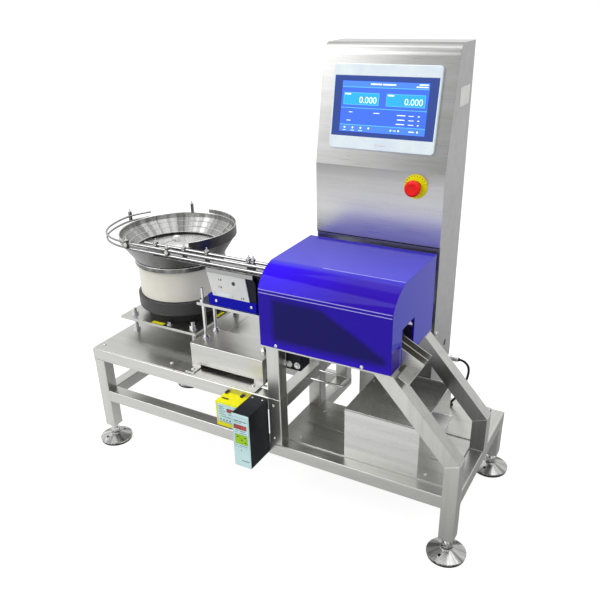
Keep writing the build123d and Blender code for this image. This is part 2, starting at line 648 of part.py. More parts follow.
def bowl_wall_line(inset):
    # The wall's outer line moved inwards: at the floor's top, and where the cone meets the rim
    lean = math.atan2(BOWL_CONE_RUN, BOWL_CONE_HEIGHT)
    low = (BOWL_FOOT_RADIUS + BOWL_WALL * math.tan(lean) - inset / math.cos(lean), BOWL_FLOOR_TOP)
    high = (BOWL_RIM_RADIUS - inset, NECK_TOP + BOWL_CONE_HEIGHT + inset * math.tan(lean / 2))
    return low, high


def turned(points):
    return Pos(BOWL_X, BOWL_Y, 0) * revolve(make_face(Plane.XZ * Polyline(*points, close=True)), Axis.Z)


def bowl():
    # Outer shell: a flat foot, a cone and a short upright rim
    low, high = bowl_wall_line(BOWL_WALL)
    add("feeder_bowl", turned([
        (0, NECK_TOP), (BOWL_FOOT_RADIUS, NECK_TOP), (BOWL_RIM_RADIUS, NECK_TOP + BOWL_CONE_HEIGHT),
        (BOWL_RIM_RADIUS, BOWL_RIM_TOP), (BOWL_RIM_RADIUS - BOWL_WALL, BOWL_RIM_TOP), high, low,
        (0, BOWL_FLOOR_TOP)]))
    edge_top = BOWL_FLOOR_TOP + DOME_EDGE_RISE
    add("bowl_floor", turned([
        (DOME_RADIUS - BOWL_WALL, BOWL_FLOOR_TOP), (DOME_RADIUS, BOWL_FLOOR_TOP), (DOME_RADIUS, edge_top),
        (0, edge_top + DOME_CROWN), (0, edge_top + DOME_CROWN - BOWL_WALL),
        (DOME_RADIUS - BOWL_WALL, edge_top - BOWL_WALL)]))
    low, high = bowl_wall_line(BOWL_WALL + SPIRAL_RIM_CLEAR)
    inside = turned([(0, BOWL_FLOOR_TOP), low, high, (high[0], BOWL_RIM_TOP), (0, BOWL_RIM_TOP)])
    add("bowl_track", Pos(BOWL_X, BOWL_Y, NECK_TOP + SPIRAL_START_RISE) * spiral() & inside)
    add("bowl_rim_wall", Pos(BOWL_X, BOWL_Y, 0) * rim_wall())


def spiral():
    # A sheet of tread and riser climbs and widens so that each turn starts where the one below it ends
    path = Helix(pitch=math.hypot(SPIRAL_PITCH, SPIRAL_GAIN), height=SPIRAL_PITCH * SPIRAL_TURNS,
                 radius=SPIRAL_START_RADIUS, cone_angle=math.degrees(math.atan(SPIRAL_GAIN / SPIRAL_PITCH)))
    reach = SPIRAL_GAIN - SPIRAL_CLEAR
    steep = SPIRAL_PITCH / (SPIRAL_GAIN - SPIRAL_TREAD)
    rise = (reach - SPIRAL_TREAD) * steep
    under = SPIRAL_SHEET * math.hypot(1, steep)
    foot = SPIRAL_TREAD + (under - SPIRAL_SHEET) / steep
    points = [(0, 0), (SPIRAL_TREAD, 0), (reach, rise),
              (reach, rise - under), (foot, -SPIRAL_SHEET), (0, -SPIRAL_SHEET)]
    plane = Plane(origin=path @ 0, x_dir=(1, 0, 0), z_dir=-(path % 0))
    return sweep(plane * make_face(Polyline(*points, close=True)), path=path, is_frenet=True)


def rim_wall():
    inner = BOWL_RIM_RADIUS + RIM_WALL_CLEAR
    outer = inner + RIM_WALL_THICK
    low = BOWL_RIM_TOP - RIM_WALL_DEEP
    high = BOWL_RIM_TOP + RIM_WALL_RISE
    section = Plane.XZ * make_face(Polyline(
        (inner, low), (outer, low), (outer, high), (inner, high), close=True))
    wall = Rot(0, 0, RIM_WALL_START) * revolve(section, Axis.Z, RIM_WALL_SWEEP)
    # The lower edge drops from the front to the right
    start = math.radians(RIM_WALL_START)
    size = 4 * BOWL_RIM_RADIUS
    below = (Pos(0, inner * math.sin(start), high - RIM_WALL_FRONT) * Rot(-RIM_WALL_TILT, 0, 0)
             * Pos(0, 0, -size / 2) * Box(size, size, size))
    return wall - below


def bowl_drive():
    half = BOWL_PLATE / 2
    plate_bottom = BOWL_PLATE_TOP - BOWL_PLATE_THICK
    add("bowl_plate", block(BOWL_X - half, BOWL_X + half, BOWL_Y - half, BOWL_Y + half,
                            plate_bottom, BOWL_PLATE_TOP))
    inset = half - BOWL_STUD_INSET
    corners = [(BOWL_X + sx * inset, BOWL_Y + sy * inset) for sx in (-1, 1) for sy in (-1, 1)]
    spacers = [rod(x, y, TABLE_PLATE_TOP, plate_bottom, BOWL_STUD_RADIUS)
               + hexagon(x, y, TABLE_PLATE_TOP, TABLE_PLATE_TOP + BOWL_NUT_HEIGHT, BOWL_NUT)
               + hexagon(x, y, plate_bottom - BOWL_NUT_HEIGHT, plate_bottom, BOWL_NUT) for x, y in corners]
    nut_top = BOWL_PLATE_TOP + BOWL_NUT_HEIGHT
    nuts = [hexagon(x, y, BOWL_PLATE_TOP, nut_top, BOWL_NUT)
            + rod(x, y, nut_top, nut_top + BOWL_STUD_SHOWN, BOWL_STUD_RADIUS) for x, y in corners]
    add("bowl_spacers", *spacers)
    add("bowl_plate_nuts", *nuts)
    add("drum_foot", rod(BOWL_X, BOWL_Y, BOWL_PLATE_TOP, DRUM_RING_BOTTOM, DRUM_FOOT_RADIUS))
    ring = rod(BOWL_X, BOWL_Y, DRUM_RING_BOTTOM, DRUM_RING_TOP, DRUM_RING_RADIUS)
    ring = fillet(ring.faces().sort_by(Axis.Z)[0].edges(), DRUM_RING_LOW_ROUND)
    ring = fillet(ring.faces().sort_by(Axis.Z)[-1].edges(), DRUM_RING_TOP_ROUND)
    add("drum_ring", ring)
    add("drum", rod(BOWL_X, BOWL_Y, DRUM_RING_TOP, DRUM_TOP, DRUM_RADIUS))
    add("bowl_neck", rod(BOWL_X, BOWL_Y, DRUM_TOP, NECK_TOP, NECK_RADIUS))


def track():
    # Two rods in front and one behind guide the parts; the front ones go on as a thinner loop round the bowl
    straight = [rod_x(TRACK_FRONT, TRACK_LOW_Z, BOWL_X, TRACK_END, TRACK_ROD),
                rod_x(TRACK_FRONT, TRACK_TOP_Z, BOWL_X, TRACK_END, TRACK_ROD),
                rod_x(TRACK_BACK, TRACK_TOP_Z, BOWL_X + TRACK_REAR_START, TRACK_END, TRACK_ROD)]
    add("track_rods", *straight)
    loops = []
    for z in (TRACK_LOW_Z, TRACK_TOP_Z):
        points = [(BOWL_X, TRACK_FRONT, z)]
        for angle, clear in LOOP_PLACES:
            turn = math.radians(angle)
            points.append((BOWL_X + (BOWL_RIM_RADIUS + clear) * math.cos(turn),
                           BOWL_Y + (BOWL_RIM_RADIUS + clear) * math.sin(turn), z))
        path = Spline(*points, tangents=((-1, 0, 0), (0.5, 0.87, 0)))
        section = Plane(origin=(BOWL_X, TRACK_FRONT, z), z_dir=(-1, 0, 0)) * Circle(LOOP_ROD)
        loops.append(sweep(section, path))
    add("bowl_rail_loop", *loops)
    bed_start = BOWL_X + TRACK_BED_START
    add("track_bed", block(bed_start, TRACK_END, TRACK_FRONT - TRACK_ROD, TRACK_BACK + TRACK_ROD,
                           TRACK_BED - TRACK_BED_THICK, TRACK_BED))
    # A front clamp hangs between its two rods, and a rear one stands on the bed or on the bowl's rim
    clamps = []
    places = [(x, TRACK_FRONT, TRACK_LOW_Z) for x in FRONT_CLAMPS]
    places += [(x, TRACK_BACK, TRACK_BED if x > bed_start else BOWL_RIM_TOP) for x in REAR_CLAMPS]
    along = CLAMP_LENGTH / 2
    across = CLAMP_WIDTH / 2
    for x, y, foot in places:
        clamps.append(block(x - along, x + along, y - across, y + across, foot, TRACK_TOP_Z + CLAMP_RISE))
    # One clip holds the loop, and one stands on the bowl's rim
    half = CLIP_SIZE / 2
    x, y = BOWL_X - BOWL_RIM_RADIUS - LOOP_CLIP_OUT, BOWL_Y + LOOP_CLIP_BACK
    clamps.append(block(x - half, x + half, y - half, y + half, TRACK_LOW_Z, TRACK_LOW_Z + CLIP_RISE))
    rim_clip = Pos(BOWL_RIM_RADIUS - BOWL_WALL / 2, 0, BOWL_RIM_TOP + CLIP_RISE / 2) * Box(
        CLIP_SIZE, CLIP_SIZE, CLIP_RISE)
    for rail in straight + loops:
        clamps = [clamp - rail for clamp in clamps]
    clamps.append(Pos(BOWL_X, BOWL_Y, 0) * Rot(0, 0, RIM_CLIP_ANGLE) * rim_clip)
    add("track_clamps", *clamps)


def linear_feeder():
    shell = block(LINEAR_LEFT, LINEAR_RIGHT, LINEAR_FRONT, LINEAR_BACK, LINEAR_BOX_BOTTOM, LINEAR_BOX_TOP)
    shell = fillet(shell.edges().filter_by(Axis.X).group_by(Axis.Z)[-1], LINEAR_BOX_ROUND)
    shell -= block(LINEAR_LEFT + LINEAR_BOX_WALL, LINEAR_RIGHT - LINEAR_BOX_WALL,
                   LINEAR_FRONT + LINEAR_BOX_WALL, LINEAR_BACK - LINEAR_BOX_WALL,
                   LINEAR_BOX_BOTTOM - 1, LINEAR_BOX_TOP - LINEAR_BOX_WALL)
    add("linear_box", shell)
    feet = []
    tab_top = TABLE_PLATE_TOP + LINEAR_FOOT_THICK
    for x0 in (LINEAR_LEFT, LINEAR_RIGHT - LINEAR_FOOT):
        x1 = x0 + LINEAR_FOOT
        for edge, out in ((LINEAR_FRONT, -1), (LINEAR_BACK, 1)):
            tip = edge + out * LINEAR_FOOT_REACH
            under = edge - out * LINEAR_FOOT_UNDER
            tab = block(x0, x1, min(edge, tip), max(edge, tip), TABLE_PLATE_TOP, tab_top)
            feet.append(tab + block(x0, x1, min(edge, under), max(edge, under),
                                    TABLE_PLATE_TOP, LINEAR_BOX_BOTTOM))
    add("linear_box_feet", *feet)
    add("linear_plate", block(LINEAR_PLATE_LEFT, LINEAR_PLATE_RIGHT, LINEAR_PLATE_FRONT, LINEAR_PLATE_BACK,
                              LINEAR_PLATE_BOTTOM, LINEAR_PLATE_TOP))
    places = [(x, y) for x in (LINEAR_PLATE_LEFT + LINEAR_POST_INSET, LINEAR_PLATE_RIGHT - LINEAR_POST_INSET)
              for y in (LINEAR_PLATE_FRONT + LINEAR_POST_INSET, LINEAR_PLATE_BACK - LINEAR_POST_INSET)]
    washer_top = LINEAR_BOX_TOP + LINEAR_WASHER
    nut_top = LINEAR_PLATE_TOP + LINEAR_TOP_NUT
    stud_top = LINEAR_PLATE_TOP + LINEAR_STUD_SHOWN
    add("linear_posts", *[
        rod(x, y, LINEAR_BOX_TOP, LINEAR_PLATE_BOTTOM, LINEAR_POST_RADIUS)
        + rod(x, y, LINEAR_BOX_TOP, washer_top, LINEAR_WASHER_RADIUS)
        + hexagon(x, y, washer_top, washer_top + LINEAR_LOW_NUT, LINEAR_LOW_NUT_ACROSS) for x, y in places])
    add("linear_post_nuts", *[
        hexagon(x, y, LINEAR_PLATE_TOP, nut_top, LINEAR_TOP_NUT_ACROSS)
        + rod(x, y, nut_top, stud_top, LINEAR_STUD_RADIUS) for x, y in places])
    add("drive_base",
        block(DRIVE_LEFT, DRIVE_RIGHT, DRIVE_FRONT, DRIVE_BACK, LINEAR_PLATE_TOP, DRIVE_BASE_TOP))
    body = block(DRIVE_LEFT + DRIVE_BODY_INSET, DRIVE_RIGHT, DRIVE_FRONT + DRIVE_SIDE_THICK,
                 DRIVE_BACK - DRIVE_SIDE_THICK, DRIVE_BASE_TOP, DRIVE_TOP)
    shoulder = body.edges().filter_by(Axis.Y).sort_by(lambda e: e.center().X + e.center().Z)[-1]
    add("drive_body", fillet(shoulder, DRIVE_BODY_ROUND))
    outline = [(DRIVE_LEFT, DRIVE_TOP), (DRIVE_LEFT + DRIVE_SIDE_TOP, DRIVE_TOP),
               (DRIVE_LEFT + DRIVE_SIDE_LOW_END, DRIVE_BASE_TOP),
               (DRIVE_LEFT + DRIVE_SIDE_LOW_START, DRIVE_BASE_TOP)]
    sides = []
    for y in (DRIVE_FRONT, DRIVE_BACK - DRIVE_SIDE_THICK):
        edge = Polyline(*[(x, y, z) for x, z in outline], close=True)
        sides.append(extrude(make_face(edge), DRIVE_SIDE_THICK, dir=(0, 1, 0)))
    add("drive_side_plates", *sides)
    add("drive_top_bar", block(DRIVE_LEFT, DRIVE_LEFT + DRIVE_BAR_LENGTH, DRIVE_FRONT - DRIVE_BAR_LIP,
                               DRIVE_BACK + DRIVE_BAR_LIP, DRIVE_TOP, DRIVE_BAR_TOP))
    lefts = [DRIVE_LEFT + place for place in TRACK_SUPPORT_PLACES]
    add("track_supports", *[block(x, x + TRACK_SUPPORT_LENGTH, DRIVE_FRONT, TRACK_BACK,
                                  DRIVE_BAR_TOP, TRACK_BED - TRACK_BED_THICK) for x in lefts])


def outlet():
    shell = block(BIN_LEFT, BIN_RIGHT, BIN_FRONT, BIN_BACK, FLOOR_TOP, BIN_TOP)
    shell -= block(BIN_LEFT + BIN_WALL, BIN_RIGHT - BIN_WALL, BIN_FRONT + BIN_WALL, BIN_BACK - BIN_WALL,
                   FLOOR_TOP + BIN_WALL, BIN_TOP + 1)
    flange = block(BIN_RIGHT, BIN_RIGHT + BIN_FLANGE, BIN_FLANGE_FRONT, BIN_FLANGE_BACK,
                   BIN_TOP - BIN_WALL, BIN_TOP)
    add("collection_bin", shell + flange)
    width = CHUTE_BACK - CHUTE_FRONT + CHUTE_WALL
    lane = (width - CHUTE_WALL) / 2
    channel = Pos(0, 0, -CHUTE_DEPTH / 2) * Box(CHUTE_IN + CHUTE_OUT, width, CHUTE_DEPTH)
    for side in (-1, 1):
        channel -= Pos(0, side * lane / 2, -CHUTE_DEPTH / 2 + CHUTE_WALL) * Box(
            CHUTE_IN + CHUTE_OUT + 2, lane - CHUTE_WALL, CHUTE_DEPTH)
    # The lower corner of the mouth is cut off, and the floor ends before it
    mouth = (CHUTE_IN + CHUTE_OUT) / 2
    cut = mouth - CHUTE_CHAMFER_LENGTH
    corner = Polyline((mouth + 1, -width, -CHUTE_DEPTH + CHUTE_CHAMFER_DEPTH),
                      (mouth + 1, -width, -CHUTE_DEPTH - 1), (cut, -width, -CHUTE_DEPTH - 1),
                      (cut, -width, -CHUTE_DEPTH + CHUTE_WALL), close=True)
    channel -= extrude(make_face(corner), 2 * width, dir=(0, 1, 0))
    middle_y = (CHUTE_FRONT + CHUTE_BACK) / 2
    shift = (CHUTE_OUT - CHUTE_IN) / 2
    # A shelf of the same slope carries the mouth and reaches over the front brace
    shelf_front = CHUTE_SHELF_FRONT - middle_y
    shelf = block(CHUTE_SHELF_START, CHUTE_OUT, shelf_front, width / 2,
                  -CHUTE_DEPTH - CHUTE_WALL, -CHUTE_DEPTH)
    place = Pos(COVER_RIGHT, middle_y, CHUTE_LIP_Z) * Rot(0, CHUTE_SLOPE, 0)
    add("outlet_chute", place * (Pos(shift, 0, 0) * channel + shelf))
    chute_side = middle_y + width / 2
    bracket_left = COVER_RIGHT - BRACKET_START
    bracket_right = COVER_RIGHT - BRACKET_END
    add("chute_bracket",
        block(bracket_left, bracket_right, chute_side, chute_side + BRACKET_SHEET,
              COVER_BASE_TOP, COVER_BASE_TOP + BRACKET_HEIGHT)
        + block(bracket_left, bracket_right, chute_side + BRACKET_SHEET, OUTLET_BACK + BRACKET_FOOT,
                COVER_BASE_TOP, COVER_BASE_TOP + BRACKET_SHEET))


def control_boxes():
    black_right = BLACK_BOX_LEFT + BLACK_BOX_WIDTH
    black_bottom = BLACK_BOX_TOP - BLACK_BOX_HEIGHT
    yellow_right = YELLOW_BOX_LEFT + YELLOW_BOX_WIDTH
    yellow_bottom = YELLOW_BOX_TOP - YELLOW_BOX_HEIGHT
    add("controller_black",
        block(BLACK_BOX_LEFT, black_right, -BLACK_BOX_DEPTH, 0, black_bottom, BLACK_BOX_TOP))
    add("controller_yellow",
        block(YELLOW_BOX_LEFT, yellow_right, -YELLOW_BOX_DEPTH, 0, yellow_bottom, YELLOW_BOX_TOP))
    add("controller_panels",
        block(BLACK_BOX_LEFT, black_right, -BLACK_BOX_DEPTH - BOX_PANEL_THICK, -BLACK_BOX_DEPTH,
              black_bottom, BLACK_BOX_TOP),
        block(YELLOW_BOX_LEFT + YELLOW_PANEL_MARGIN, yellow_right - YELLOW_PANEL_MARGIN,
              -YELLOW_BOX_DEPTH - BOX_PANEL_THICK, -YELLOW_BOX_DEPTH,
              yellow_bottom + YELLOW_PANEL_FOOT, YELLOW_BOX_TOP - YELLOW_PANEL_MARGIN))


def cable():
    # The lead leaves its gland, bends down and goes through a grommet in the floor plate
    end_x = COLUMN_RIGHT + GLAND_LENGTH
    gland = rod_x(GLAND_Y, GLAND_Z, COLUMN_RIGHT, end_x, GLAND_RADIUS)
    nut = Pos(COLUMN_RIGHT, GLAND_Y, GLAND_Z) * Rot(0, 90, 0) * extrude(
        RegularPolygon(GLAND_RADIUS + GLAND_NUT_RISE, 6, major_radius=False), GLAND_NUT)
    add("cable_gland", gland + nut)
    route = [(end_x, GLAND_Y, GLAND_Z)] + [(end_x + x, GLAND_Y + y, GLAND_Z + z) for x, y, z in CABLE_ROUTE]
    down_x, down_y = route[-1][:2]
    route.append((down_x, down_y, FLOOR_TOP))
    radii = []
    for before, corner, after in zip(route, route[1:], route[2:]):
        first = Vector(*corner) - Vector(*before)
        second = Vector(*after) - Vector(*corner)
        half_turn = math.radians(first.get_angle(second)) / 2
        radii.append(CABLE_ARC_SHARE * min(first.length, second.length) / math.tan(half_turn))
    print("cable radii", [round(radius, 1) for radius in radii])
    path = FilletPolyline(*route, radius=radii)
    section = Plane(origin=route[0], z_dir=(1, 0, 0)) * Circle(CABLE_RADIUS)
    lead = sweep(section, path)
    print("cable volume", lead.volume, "section times length", math.pi * CABLE_RADIUS ** 2 * path.length)
    add("cable", lead)
    add("cable_grommet", rod(down_x, down_y, FLOOR_TOP, FLOOR_TOP + GROMMET_RISE, GROMMET_RADIUS)
        - rod(down_x, down_y, FLOOR_TOP - 1, FLOOR_TOP + GROMMET_RISE + 1, CABLE_RADIUS + GROMMET_CLEAR))


frame()
feet()
plates()
column()
screen()
stop_button()
cover()
wire_ring()
bowl()
bowl_drive()
track()
linear_feeder()
outlet()
control_boxes()
cable()

# The origin goes to the middle of the whole machine's box, on the floor
whole = Compound([solid for shape in parts.values() for solid in shape.solids()]).bounding_box()
origin = Pos(-whole.center().X, -whole.center().Y, -whole.min.Z)
os.makedirs("parts", exist_ok=True)
for name, shape in parts.items():
    export_step(origin * shape, "parts/" + name + ".step")
print("origin", whole.center().X, whole.center().Y, whole.min.Z, "size", whole.size)
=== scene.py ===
import json
import math
from contextlib import contextmanager

import bpy
from mathutils import Euler, Matrix, Vector


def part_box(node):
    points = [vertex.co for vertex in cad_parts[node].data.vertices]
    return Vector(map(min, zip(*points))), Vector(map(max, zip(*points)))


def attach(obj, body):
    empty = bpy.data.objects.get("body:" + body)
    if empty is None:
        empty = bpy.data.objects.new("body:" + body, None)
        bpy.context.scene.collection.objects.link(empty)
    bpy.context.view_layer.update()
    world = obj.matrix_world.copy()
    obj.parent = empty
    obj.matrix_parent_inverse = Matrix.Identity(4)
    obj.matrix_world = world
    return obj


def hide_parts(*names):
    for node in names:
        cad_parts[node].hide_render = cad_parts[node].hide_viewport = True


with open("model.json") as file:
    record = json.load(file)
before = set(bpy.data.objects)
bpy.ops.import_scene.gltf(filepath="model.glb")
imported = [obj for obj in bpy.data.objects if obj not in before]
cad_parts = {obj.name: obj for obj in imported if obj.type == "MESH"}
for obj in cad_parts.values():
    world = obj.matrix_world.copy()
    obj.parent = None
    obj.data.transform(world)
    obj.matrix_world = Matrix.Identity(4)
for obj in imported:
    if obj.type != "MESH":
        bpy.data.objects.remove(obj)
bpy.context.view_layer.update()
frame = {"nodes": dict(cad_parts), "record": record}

bl_info = {
    "name": "Checkweigher Dresser",
    "version": (1, 1, 0),
    "blender": (4, 5, 0),
    "location": "View3D > Sidebar > Checkweigher",
    "description": "Finishes, small fittings and stage for a checkweigher with a bowl feeder",
    "category": "Object",
}

NODES = frame["nodes"]
MACHINE = "machine"
HEAD_BODY = "stop_button"
MM = 0.001

# Degrees past which an edge stays sharp
SMOOTH_ANGLE = 32

# The frame's left end and front face, from which places on the machine are measured
LEFT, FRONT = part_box("frame_legs")[0][:2]

# Which way a fitting looks: its own Z is turned out of the face it sits on
FACING = {"front": (90, 0, 0), "back": (90, 0, 180), "right": (90, 0, 90), "left": (90, 0, -90),
          "up": (0, 0, 0)}

# The photograph's camera, in metres and degrees, and its principal point as a shift of the frame
CAMERA_PLACE = (0.92346, -1.51702, 1.32112)
CAMERA_TURN = (62.63, 1.81, 30.02)
CAMERA_LENS = 41.66
CAMERA_SHIFT = (0.0220, 0.0709)


class CheckweigherFinish(bpy.types.PropertyGroup):
    steel: bpy.props.FloatVectorProperty(
        name="Stainless steel", description="Colour of the brushed steel", subtype="COLOR",
        size=3, min=0, max=1, default=(0.53, 0.53, 0.51))
    steel_roughness: bpy.props.FloatProperty(
        name="Steel roughness", description="How dull the brushed steel is", default=0.28, min=0, max=1)
    cover: bpy.props.FloatVectorProperty(
        name="Cover", description="Colour of the acrylic cover", subtype="COLOR",
        size=3, min=0, max=1, default=(0.030, 0.004, 0.62))
    drum: bpy.props.FloatVectorProperty(
        name="Drum", description="Colour of the bowl drive's drum", subtype="COLOR",
        size=3, min=0, max=1, default=(0.93, 0.90, 0.80))
    stop: bpy.props.FloatVectorProperty(
        name="Stop button", description="Colour of the stop button's head", subtype="COLOR",
        size=3, min=0, max=1, default=(0.98, 0.006, 0.001))
    display: bpy.props.FloatVectorProperty(
        name="Display", description="Colour of the screen's lit picture", subtype="COLOR",
        size=3, min=0, max=1, default=(0.035, 0.13, 0.95))


class CheckweigherFittings(bpy.types.PropertyGroup):
    screw_radius: bpy.props.FloatProperty(
        name="Screw radius", description="Radius of the dome screws' heads", default=0.0048,
        min=0.001, unit="LENGTH")
    bolt_radius: bpy.props.FloatProperty(
        name="Bolt radius", description="Radius over the corners of the small hexagon bolts",
        default=0.0042, min=0.001, unit="LENGTH")
    weld_radius: bpy.props.FloatProperty(
        name="Weld bead", description="Radius of the weld beads on the frame's joints",
        default=0.0009, min=0.0001, unit="LENGTH")
    cable_diameter: bpy.props.FloatProperty(
        name="Cable diameter", description="Diameter of the lead at the column's side",
        default=0.007, min=0.002, unit="LENGTH")


class CheckweigherStage(bpy.types.PropertyGroup):
    floor_size: bpy.props.FloatProperty(
        name="Floor size", description="Side of the pale floor", default=60.0, min=5, unit="LENGTH")
    key_energy: bpy.props.FloatProperty(
        name="Key light", description="Power of the soft lamp at the upper left", default=46.0, min=0)
    fill_energy: bpy.props.FloatProperty(
        name="Fill light", description="Power of the soft lamp at the right", default=9.0, min=0)


def finish_values():
    return bpy.context.scene.checkweigher_finish


def fitting_values():
    return bpy.context.scene.checkweigher_fittings


def chosen(colour):
    # A colour given by name is one that the sidebar holds
    return tuple(getattr(finish_values(), colour)) if isinstance(colour, str) else colour


def scaled(colour, factor, added=0.0):
    return tuple(min(1.0, part * factor + added) for part in colour)


def feed(tree, place, value):
    # A socket takes another node's output, a number, a vector or a colour
    if isinstance(value, bpy.types.NodeSocket):
        tree.links.new(value, place)
    elif isinstance(value, (int, float)):
        place.default_value = value
    else:
        place.default_value = (*value[:3], 1.0) if place.type == "RGBA" else value


def node_made(tree, kind, inputs=None, **settings):
    # A node with its settings, and its inputs by name or number
    node = tree.nodes.new("ShaderNode" + kind)
    for name, value in settings.items():
        setattr(node, name, value)
    for place, value in (inputs or {}).items():
        feed(tree, node.inputs[place], value)
    return node


def math_node(tree, operation, *values, clamp=False):
    return node_made(tree, "Math", dict(enumerate(values)), operation=operation, use_clamp=clamp).outputs[0]


def vector_node(tree, operation, *values):
    return node_made(tree, "VectorMath", dict(enumerate(values)), operation=operation).outputs


def multiplied(tree, *values):
    whole = values[0]
    for value in values[1:]:
        whole = math_node(tree, "MULTIPLY", whole, value)
    return whole


def varied(tree, value, gain, base):
    # A value that swings by its gain above a base, as a roughness does over a surface
    return math_node(tree, "MULTIPLY_ADD", value, gain, base)


def ramp(tree, value, low, high):
    # Spreads a value over 0 to 1 between two limits
    return node_made(tree, "MapRange", {"Value": value, "From Min": low, "From Max": high}).outputs["Result"]


def bands(tree, value, low, high, stops):
    # Grey steps over a value: each stop is a place between the two limits and a brightness
    node = node_made(tree, "ValToRGB", {"Fac": ramp(tree, value, low, high)})
    made = node.color_ramp.elements
    for place, grey in stops[2:]:
        made.new((place - low) / (high - low))
    for element, (place, grey) in zip(made, sorted(stops)):
        element.position = (place - low) / (high - low)
        element.color = (grey, grey, grey, 1.0)
    return node.outputs["Color"]


def noise(tree, vector, scale, detail=3.0, roughness=0.5):
    values = {"Vector": vector, "Scale": scale, "Detail": detail, "Roughness": roughness}
    return node_made(tree, "TexNoise", values).outputs["Fac"]


def mix_colour(tree, amount, first, second, blend="MIX"):
    node = node_made(tree, "Mix", data_type="RGBA", blend_type=blend)
    for name, value in (("Factor", amount), ("A", first), ("B", second)):
        feed(tree, [s for s in node.inputs if s.name == name and s.enabled][0], value)
    return [s for s in node.outputs if s.enabled][0]


def parts_of(tree, vector):
    return node_made(tree, "SeparateXYZ", {0: vector}).outputs


def face_normal(tree):
    return node_made(tree, "NewGeometry").outputs["Normal"]


def facing_parts(tree):
    # The plain face's direction, split into its three parts
    return parts_of(tree, face_normal(tree))


def rounded_normal(tree, radius):
    return node_made(tree, "Bevel", {"Radius": radius}, samples=4).outputs["Normal"]


# Radii, in metres, at which edges catch the light: of sheet and paint, of turned steel, wire and acrylic
EDGE_RADIUS = 0.0012
TURNED_EDGE = 0.0008
WIRE_EDGE = 0.0006
ACRYLIC_EDGE = 0.0018

# Depth of the bump in metres: of metal's marks, and of paint's and plastic's texture
METAL_BUMP = 0.0001
COAT_BUMP = 0.0002

VECTOR_AND_AMOUNT = (("Vector", "Vector"), ("Amount", "Float", 0.5, 0.0, 1.0))


def new_group(name, inputs, outputs):
    # Each input is a name and a kind and, where it has them, its default and limits
    group = bpy.data.node_groups.new(name, "ShaderNodeTree")
    for title, kind, *limits in inputs:
        made = group.interface.new_socket(name=title, in_out="INPUT", socket_type="NodeSocket" + kind)
        for setting, value in zip(("default_value", "min_value", "max_value"), limits):
            setattr(made, setting, value)
    for title in outputs:
        group.interface.new_socket(name=title, in_out="OUTPUT", socket_type="NodeSocketFloat")
    return group, group.nodes.new("NodeGroupInput").outputs, group.nodes.new("NodeGroupOutput").inputs


def grain_group(name):
    # Long fine scratches of brushed sheet, with a slower cloudiness between them
    group, given, made = new_group(name, (("Vector", "Vector"), ("Stretch", "Vector", (1.0, 1.0, 1.0))),
                                   ("Scratches", "Clouds", "Smudges"))
    fine = vector_node(group, "MULTIPLY", given["Vector"], given["Stretch"])[0]
    slow = node_made(group, "VectorMath", {0: fine, "Scale": 0.06}, operation="SCALE").outputs[0]
    feed(group, made["Scratches"], noise(group, fine, 1.0, 4.0, 0.7))
    feed(group, made["Clouds"], noise(group, slow, 1.0, 2.0))
    feed(group, made["Smudges"], noise(group, given["Vector"], 9.0, 4.0, 0.55))
    return group


def wear_group(name):
    # Finds the corners that hands and tools rub, broken up by a fine noise
    group, given, made = new_group(name, VECTOR_AND_AMOUNT, ("Mask",))
    level = vector_node(group, "DOT_PRODUCT", rounded_normal(group, EDGE_RADIUS), face_normal(group))["Value"]
    broken = ramp(group, noise(group, given["Vector"], 160.0), 0.42, 0.62)
    feed(group, made["Mask"], multiplied(group, ramp(group, level, 0.995, 0.80), broken, given["Amount"]))
    return group


def dust_group(name):
    # Pale dust that settles on faces that look up
    group, given, made = new_group(name, VECTOR_AND_AMOUNT, ("Mask",))
    upward = ramp(group, facing_parts(group)["Z"], 0.4, 1.0)
    patches = ramp(group, noise(group, given["Vector"], 22.0, 5.0), 0.35, 0.75)
    feed(group, made["Mask"], multiplied(group, upward, patches, given["Amount"]))
    return group


GROUPS = {"brushed_grain": grain_group, "edge_wear": wear_group, "settled_dust": dust_group}


def place_group(tree, name, vector, **values):
    # A group is built when a material first asks for it
    group = bpy.data.node_groups.get(name) or GROUPS[name](name)
    return node_made(tree, "Group", {"Vector": vector, **values}, node_tree=group).outputs


def new_material(name):
    material = bpy.data.materials.new(name)
    material.use_nodes = True
    return material, material.node_tree, node_made(material.node_tree, "TexCoord").outputs["Object"]


def surface(tree, values):
    for name, value in values.items():
        feed(tree, tree.nodes["Principled BSDF"].inputs[name], value)


def bumped(tree, height, strength, depth=METAL_BUMP, radius=EDGE_RADIUS):
    # A small radius catches the light on every edge, and the grain's bump lies over it
    return node_made(tree, "Bump", {
        "Strength": strength, "Distance": depth, "Height": height,
        "Normal": rounded_normal(tree, radius)}).outputs["Normal"]


# Brushing directions as stretches of the grain: small along the scratches, large across them
ALONG_X = (14.0, 900.0, 900.0)
ALONG_Y = (900.0, 14.0, 900.0)
ALONG_Z = (900.0, 900.0, 14.0)
POLISHING = (60.0, 60.0, 700.0)


def brushed_steel(name, stretch, colour="steel", roughness=None, painted_light=None):
    colour = chosen(colour)
    if roughness is None:
        roughness = finish_values().steel_roughness
    material, tree, vector = new_material(name)
    grain = place_group(tree, "brushed_grain", vector, Stretch=stretch)
    pale = scaled(colour, 1.16)
    shade = mix_colour(tree, ramp(tree, grain["Scratches"], 0.30, 0.70), scaled(colour, 0.80), pale)
    shade = mix_colour(tree, ramp(tree, grain["Clouds"], 0.25, 0.85), shade, pale)
    # A finish may multiply painted light and shade into the steel's colour
    if painted_light:
        shade = mix_colour(tree, 1.0, shade, painted_light(tree, vector), "MULTIPLY")
    touched = varied(tree, grain["Smudges"], 0.12, roughness - 0.14)
    surface(tree, {"Base Color": shade, "Metallic": 1.0,
                   "Roughness": varied(tree, grain["Scratches"], 0.22, touched),
                   "Normal": bumped(tree, grain["Scratches"], 0.12)})
    return material


